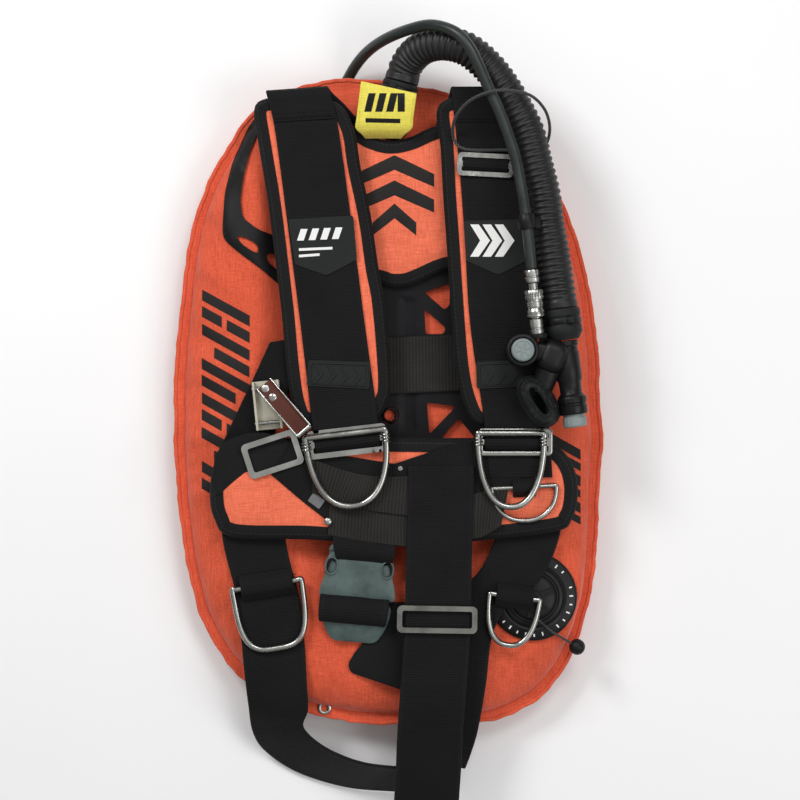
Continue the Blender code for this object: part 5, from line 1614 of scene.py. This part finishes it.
place("inflator_bridge", bridge, "black")
snout = sweep(smooth_line([(123, -46, 82), (120, -58, 81), (115.5, -72, 79)], 2), oval(8.5, 6.5, 28),
              scale=lambda t: 1.25 - 0.3 * t)
place("inflator_snout", snout, "black")
collar = lathe([(0, -3), (7.2, -3), (7.6, -2.4), (7.6, 0), (6.6, 0.6), (5.9, 0.6), (5.9, 0), (0, 0)], QD_AT,
    QD_DIR)
place("qd_collar", collar, "black")
button = [(0, 0), (8.8, 0), (8.8, 5.2), (8.4, 6.3), (7.6, 7.0), (6.8, 7.1), (6.5, 6.6), (0, 6.8)]
place("inflate_button_cap", lathe(button, HOUSING_AT + Vector((0, 0, 26.5))), "grey",
      "inflate_button", "inflate_button", "grey_buttons")
for k in range(6):
    a = math.radians(60 * k + 15)
    rib = sweep([HOUSING_AT + Vector((r * math.cos(a), r * math.sin(a), 33.35)) for r in (1.6, 3.6, 5.6)],
                round_box(0.5, 0.4, 0.2, 2))
    place(f"inflate_button_rib_{k}", rib, "grey", "inflate_button")
cap = [(0, 0), (8.3, 0), (8.3, 7.6), (8.9, 8.2), (8.9, 13.4), (8.3, 14.6), (7.0, 15.2), (0, 15.4)]
place("deflate_button_cap", lathe(cap, BODY_AT + INFLATOR_DIR * (BODY_LONG - 5.4), INFLATOR_DIR, 60,
      lambda a, r, h: 1 + 0.02 * (math.sin(15 * a) > 0) if h > 8 and r > 8 else 1.0), "grey",
      "deflate_button", "deflate_button", "grey_buttons")
MOUTH_AT, MOUTH_TILT = (114.0, -79.0), 33
mouth_rim = dense(turned_about(MOUTH_AT, MOUTH_TILT, oval(11.8, 20.5, 60, 2.3)), 1.6)
mouth_hole = turned_about(MOUTH_AT, MOUTH_TILT, oval(3.4, 11.5, 40, 2.6))


def mouth_top(x, y, d):
    """A rolled lip round the rim, a shallow dish inside it and a bead round the bore."""
    bead = 1.6 * math.exp(-(((edge_distance([(x, y)], mouth_hole)[0] - 1.6) / 1.1) ** 2))
    return 85.6 + 2.2 * math.exp(-(((d - 2.2) / 1.5) ** 2)) - 2.4 * (1 - blend(0, 1.8, d)) + bead


place(
    "mouthpiece_moulded",
    sheet_mesh(mouth_rim, lambda x, y, d: 70 + 2.5 * (1 - blend(0, 3, d)), mouth_top, [mouth_hole], 1.3),
    "matt", node="mouthpiece", slot="black_rubber",
)
place("mouthpiece_grip", sweep(smooth_line([(*turned_about(MOUTH_AT, MOUTH_TILT, [p])[0], 79.0) for p in
      oval(11.9, 20.6, 24, 2.3)], 1.5, closed=True), circle(0.9, 10), closed=True), "matt")


def knurled(low, high, count, deep):
    return lambda a, r, h: 1 - deep * (0.5 + 0.5 * math.cos(count * a)) if low < h < high and r > 6 else 1.0


NIPPLE = [(0, 0), (5.6, 0), (5.6, 3.4), (5.0, 3.8), (5.0, 5), (5.6, 5.4), (5.6, 11.4), (5.0, 12), (4.0, 12.2),
    (4.0, 23), (0, 23)]
SLEEVE = [
    (4.4, 13), (6.6, 13), (7.1, 13.4), (7.3, 14), (7.3, 15.4), (6.8, 15.8), (6.8, 16.4), (7.3, 16.8),
    (7.3, 18), (6.5, 19),
    (6.5, 20.6), (6.9, 21), (6.9, 24.6), (6.5, 25), (6.5, 26), (7.3, 27), (7.3, 29), (6.9, 29.4), (6.9, 30.2),
    (7.3, 30.6), (7.3, 33), (6.8, 33.8), (4.4, 34),
]
STEM = [
    (0, 23.5), (3.9, 23.5), (3.9, 38.6), (5.0, 39), (6.0, 40), (6.0, 43), (5.5, 43.5), (5.5, 44.2),
    (6.0, 44.7), (6.0, 48.2), (5.5, 49), (0, 49),
]
place("qd_nipple_turned", lathe(NIPPLE, QD_AT, QD_DIR), "coupling", node="qd_nipple", slot="polished_steel")
place("qd_sleeve_knurled", lathe(SLEEVE, QD_AT, QD_DIR, 96, knurled(26.5, 34, 24, 0.05)), "coupling",
      "qd_sleeve", "qd_sleeve", "polished_steel")
place("qd_stem_turned", lathe(STEM, QD_AT, QD_DIR, 48, lambda a, r, h: 1 - 0.06 * abs(math.sin(3 * a))
      if 39.5 < h < 48.5 and r > 5 else 1.0), "coupling", node="qd_stem", slot="polished_steel")
KEEPER_AT, KEEPER_DIR = Vector((104.1, 57.5, 93.55)), Vector((-3.2, 24, -0.5)).normalized()
keeper = [(5.0, -5.5), (6.4, -5.5), (6.7, -5.1), (6.7, 5.1), (6.4, 5.5), (5.0, 5.5)]
place("hose_keeper_clip", lathe(keeper, KEEPER_AT, KEEPER_DIR), "black", node="hose_keeper",
      slot="black_plastic")
link = sweep(smooth_line([(108, 57, 92), (111, 57, 90.5), (114, 57, 89)], 1.0), round_box(4.8, 2.2, 1.2, 3))
place("hose_keeper_link", link, "black")
BUNGEE = [
    (49, 126, 63), (50, 138, 74), (60, 149, 91), (76, 155, 103), (92, 156, 101), (108, 153, 93),
    (119, 143, 84), (123, 130, 74), (120, 119, 65), (110, 115.5, 62.6), (88, 115.5, 62.6), (64, 115.5, 62.6),
    (54, 118, 62.6),
]
braid = Look("bungee_braid", (0.02, 0.02, 0.021), 0.6, Sheen_Weight=0.2)
braid_uv = braid.coords(uv=True, scale=(520, 520, 1), turn=42)
cross = braid.math("MULTIPLY", braid.wave(braid_uv, 0.35, "X"), braid.wave(braid_uv, 0.35, "Y"))
braid.set("Base Color", braid.ramp(cross, (0.1, 0.012), (0.8, 0.07)))
braid.set("Normal", braid.bump(cross, 0.25))
M["braid"] = braid.mat
bungee = sweep(smooth_line(BUNGEE, 1.4, closed=True), circle(1.2, 14), closed=True)
place("bungee_loop_braided", bungee, "braid", node="bungee_loop", slot="bungee", smooth_angle=0)


# ================================================================ dump valve

VALVE_FLOOR = VALVE_SEAT + 0.5
VALVE_SHAPE = [
    (0, 4.2), (20, 4.2), (20, 0), (34.0, 0), (34.5, 0.6), (34.5, 2.4), (33.9, 3.2), (32.6, 3.9), (26.0, 4.9),
    (25.2, 4.4),
    (24.2, 4.4), (23.4, 5.3), (22.6, 6.0), (20.5, 6.2), (19.6, 5.4), (18.4, 5.4), (17.6, 6.6), (15.0, 7.6),
    (8.0, 8.3), (0, 8.5),
]
place("dump_valve_cover", lathe(VALVE_SHAPE, (*VALVE_AT, VALVE_FLOOR), sides=96), "black",
      node="dump_valve_body", slot="black_plastic")


def radial(name, start, end, angle, half, low, high, look="black"):
    """A bar on the valve's cover from one radius to another."""
    a = math.radians(angle)
    out, across = Vector((math.cos(a), math.sin(a))), Vector((-math.sin(a), math.cos(a)))
    centre = Vector(VALVE_AT)
    ring = [centre + out * r + across * s for r, s in ((start, -half), (end, -half), (end, half),
        (start, half))]
    base = VALVE_FLOOR + low
    mesh = sheet_mesh([tuple(p) for p in ring], lambda x, y, d: base, lambda x, y, d: VALVE_FLOOR + high,
        grid=None)
    return place(name, mesh, look)


for k in range(6):
    radial(f"valve_spoke_{k}", 5.5, 16.0, 60 * k + 20, 1.3 if k % 2 else 2.2, 7.0, 9.3 if k % 2 else 9.6)
hub = lathe([(0, 8), (5.6, 8), (5.9, 9.4), (5.2, 10.2), (0, 10.6)], (*VALVE_AT, VALVE_FLOOR), sides=48)
place("valve_hub", hub, "black")
for k in range(28):
    if k % 7 != 6:
        tall = 3.6 if k % 2 else 2.2
        radial(f"valve_tick_{k}", 31.2 - tall, 31.2, -140 + 360 * k / 28, 0.55, 3.9, 4.55, "white")
place("dump_poppet_disc", lathe([(0, 0), (17.6, 0), (18, 0.4), (18, 1.5), (17.4, 1.8), (0, 1.8)],
      (*VALVE_AT, VALVE_FLOOR + 0.6)), "matt", "dump_poppet", "dump_poppet", "black_rubber")
BALL_AT, PULL_DIR, BALL_R = Vector((147.0, -272.0, 37.0)), Vector((0.82, -0.52, -0.38)).normalized(), 6.3
ball_shape = []
for k in range(25):
    a = -math.pi / 2 + math.pi * k / 24
    dent = 0.8 * math.exp(-(((a - math.pi / 2) / 0.35) ** 2))
    seam = 0.25 * math.exp(-((a / 0.06) ** 2))
    ball_shape.append((max(0.0, (BALL_R - seam) * math.cos(a)) if 0 < k < 24 else 0.0,
        BALL_R * math.sin(a) - dent))
place("dump_ball_moulded", lathe(ball_shape, BALL_AT, PULL_DIR, 40), "black", "dump_pull_ball",
      "dump_pull_ball", "black_plastic")
PULL_STROKE, CORD_CLEAR = 12.0, 1.9
cord_route = [Vector((115, -249, 44.2)), Vector((119, -252.6, 45.4)),
    *[BALL_AT - PULL_DIR * t for t in (26, 17.0, 10)]]
for p in cord_route:
    ahead = p + PULL_DIR * PULL_STROKE
    p.z = max(p.z, on_wing(p.x, p.y, 0.0) + CORD_CLEAR, on_wing(ahead.x, ahead.y,
        0.0) - PULL_DIR.z * PULL_STROKE + CORD_CLEAR)
cord_line = smooth_line([*cord_route, BALL_AT - PULL_DIR * 4], 0.8)
place("dump_ball_cord", sweep(cord_line, circle(0.9, 12)), "braid", "dump_pull_ball")


# ================================================================ tank side

tank_pad = sheet_mesh(
    dense(round_box(35, 52, 8, 5), 2.0),
    lambda x, y, d: 10.0 + 0.9 * (0.5 + 0.5 * math.cos(y * 2 * math.pi / 8)) * blend(3, 6, d) * (abs(x) > 4),
    lambda x, y, d: 19.6,
    grid=2.0,
)
place("tank_pad_ribbed", tank_pad, "matt", node="tank_pad", slot="black_rubber")
BAND_HALF, BAND_Z, BAND_THICK, BAND_WIDE = 46.0, (11.3, 18.7), 2.2, 50.0
for label, y in (("upper", 85.0), ("lower", -85.0)):
    radius, middle = (BAND_Z[1] - BAND_Z[0]) / 2, sum(BAND_Z) / 2
    loop = []
    for start, x in ((-90, BAND_HALF - radius), (90, radius - BAND_HALF)):
        for k in range(9):
            a = math.radians(start + 180 * k / 8)
            loop.append((x + radius * math.cos(a), y, middle + radius * math.sin(a)))
    loop = [Vector(p) for p in loop]
    run = [loop[k].lerp(loop[(k + 1) % len(loop)],
        j / 12) for k in range(len(loop)) for j in range(12 if k in (8, 17) else 1)]
    section = [(s * BAND_WIDE / 2, h * BAND_THICK / 2) for s, h in STRAP_SECTION]
    ups = []
    for k, p in enumerate(run):
        ahead = run[(k + 1) % len(run)] - run[k - 1]
        ups.append(ahead.cross(Vector((0, 1, 0))).normalized())
    band = sweep(run, section, closed=True, up=ups)
    layer = band.uv_layers[0].data
    for loop_corner in band.loops:
        local = band.vertices[loop_corner.vertex_index].co.y - y
        layer[loop_corner.index].uv = (layer[loop_corner.index].uv.x, local * MM)
    place(f"tank_band_woven_{label}", band, "web", node=f"tank_band_{label}", slot="black_webbing")
    place(f"cam_buckle_plate_{label}", block((7, y, 8.6), (44, 58, 2.4), (1, 0, 0), 0.6), "black",
          node=f"cam_buckle_{label}", slot="black_plastic")
    for side in (-1, 1):
        cheek = block((1, y + side * 29.5, 5.6), (56, 3, 7.4), (1, 0, 0), 0.9)
        place(f"cam_cheek_{label}_{(side + 1) // 2}", cheek, "black")
        pin = lathe([(0, 0), (1.9, 0), (1.9, 0.9), (1.4, 1.3), (0, 1.4)], (-22, y + side * 30.9, 4.9),
            (0, side, 0), 24)
        place(f"cam_pin_{label}_{(side + 1) // 2}", pin, "steel", slot="polished_steel")
    lever_name = f"cam_lever_{label}"
    place(f"cam_lever_plate_{label}", block((0, y, 4.9), (50, 54, 4.2), (1, 0, 0), 1.6), "black", lever_name,
          lever_name, "black_plastic")
    for k in range(5):
        rib = block((-14 + 7.5 * k, y, 2.75), (2.6, 44, 1.0), (1, 0, 0), 0.4)
        place(f"cam_lever_rib_{label}_{k}", rib, "black", lever_name)
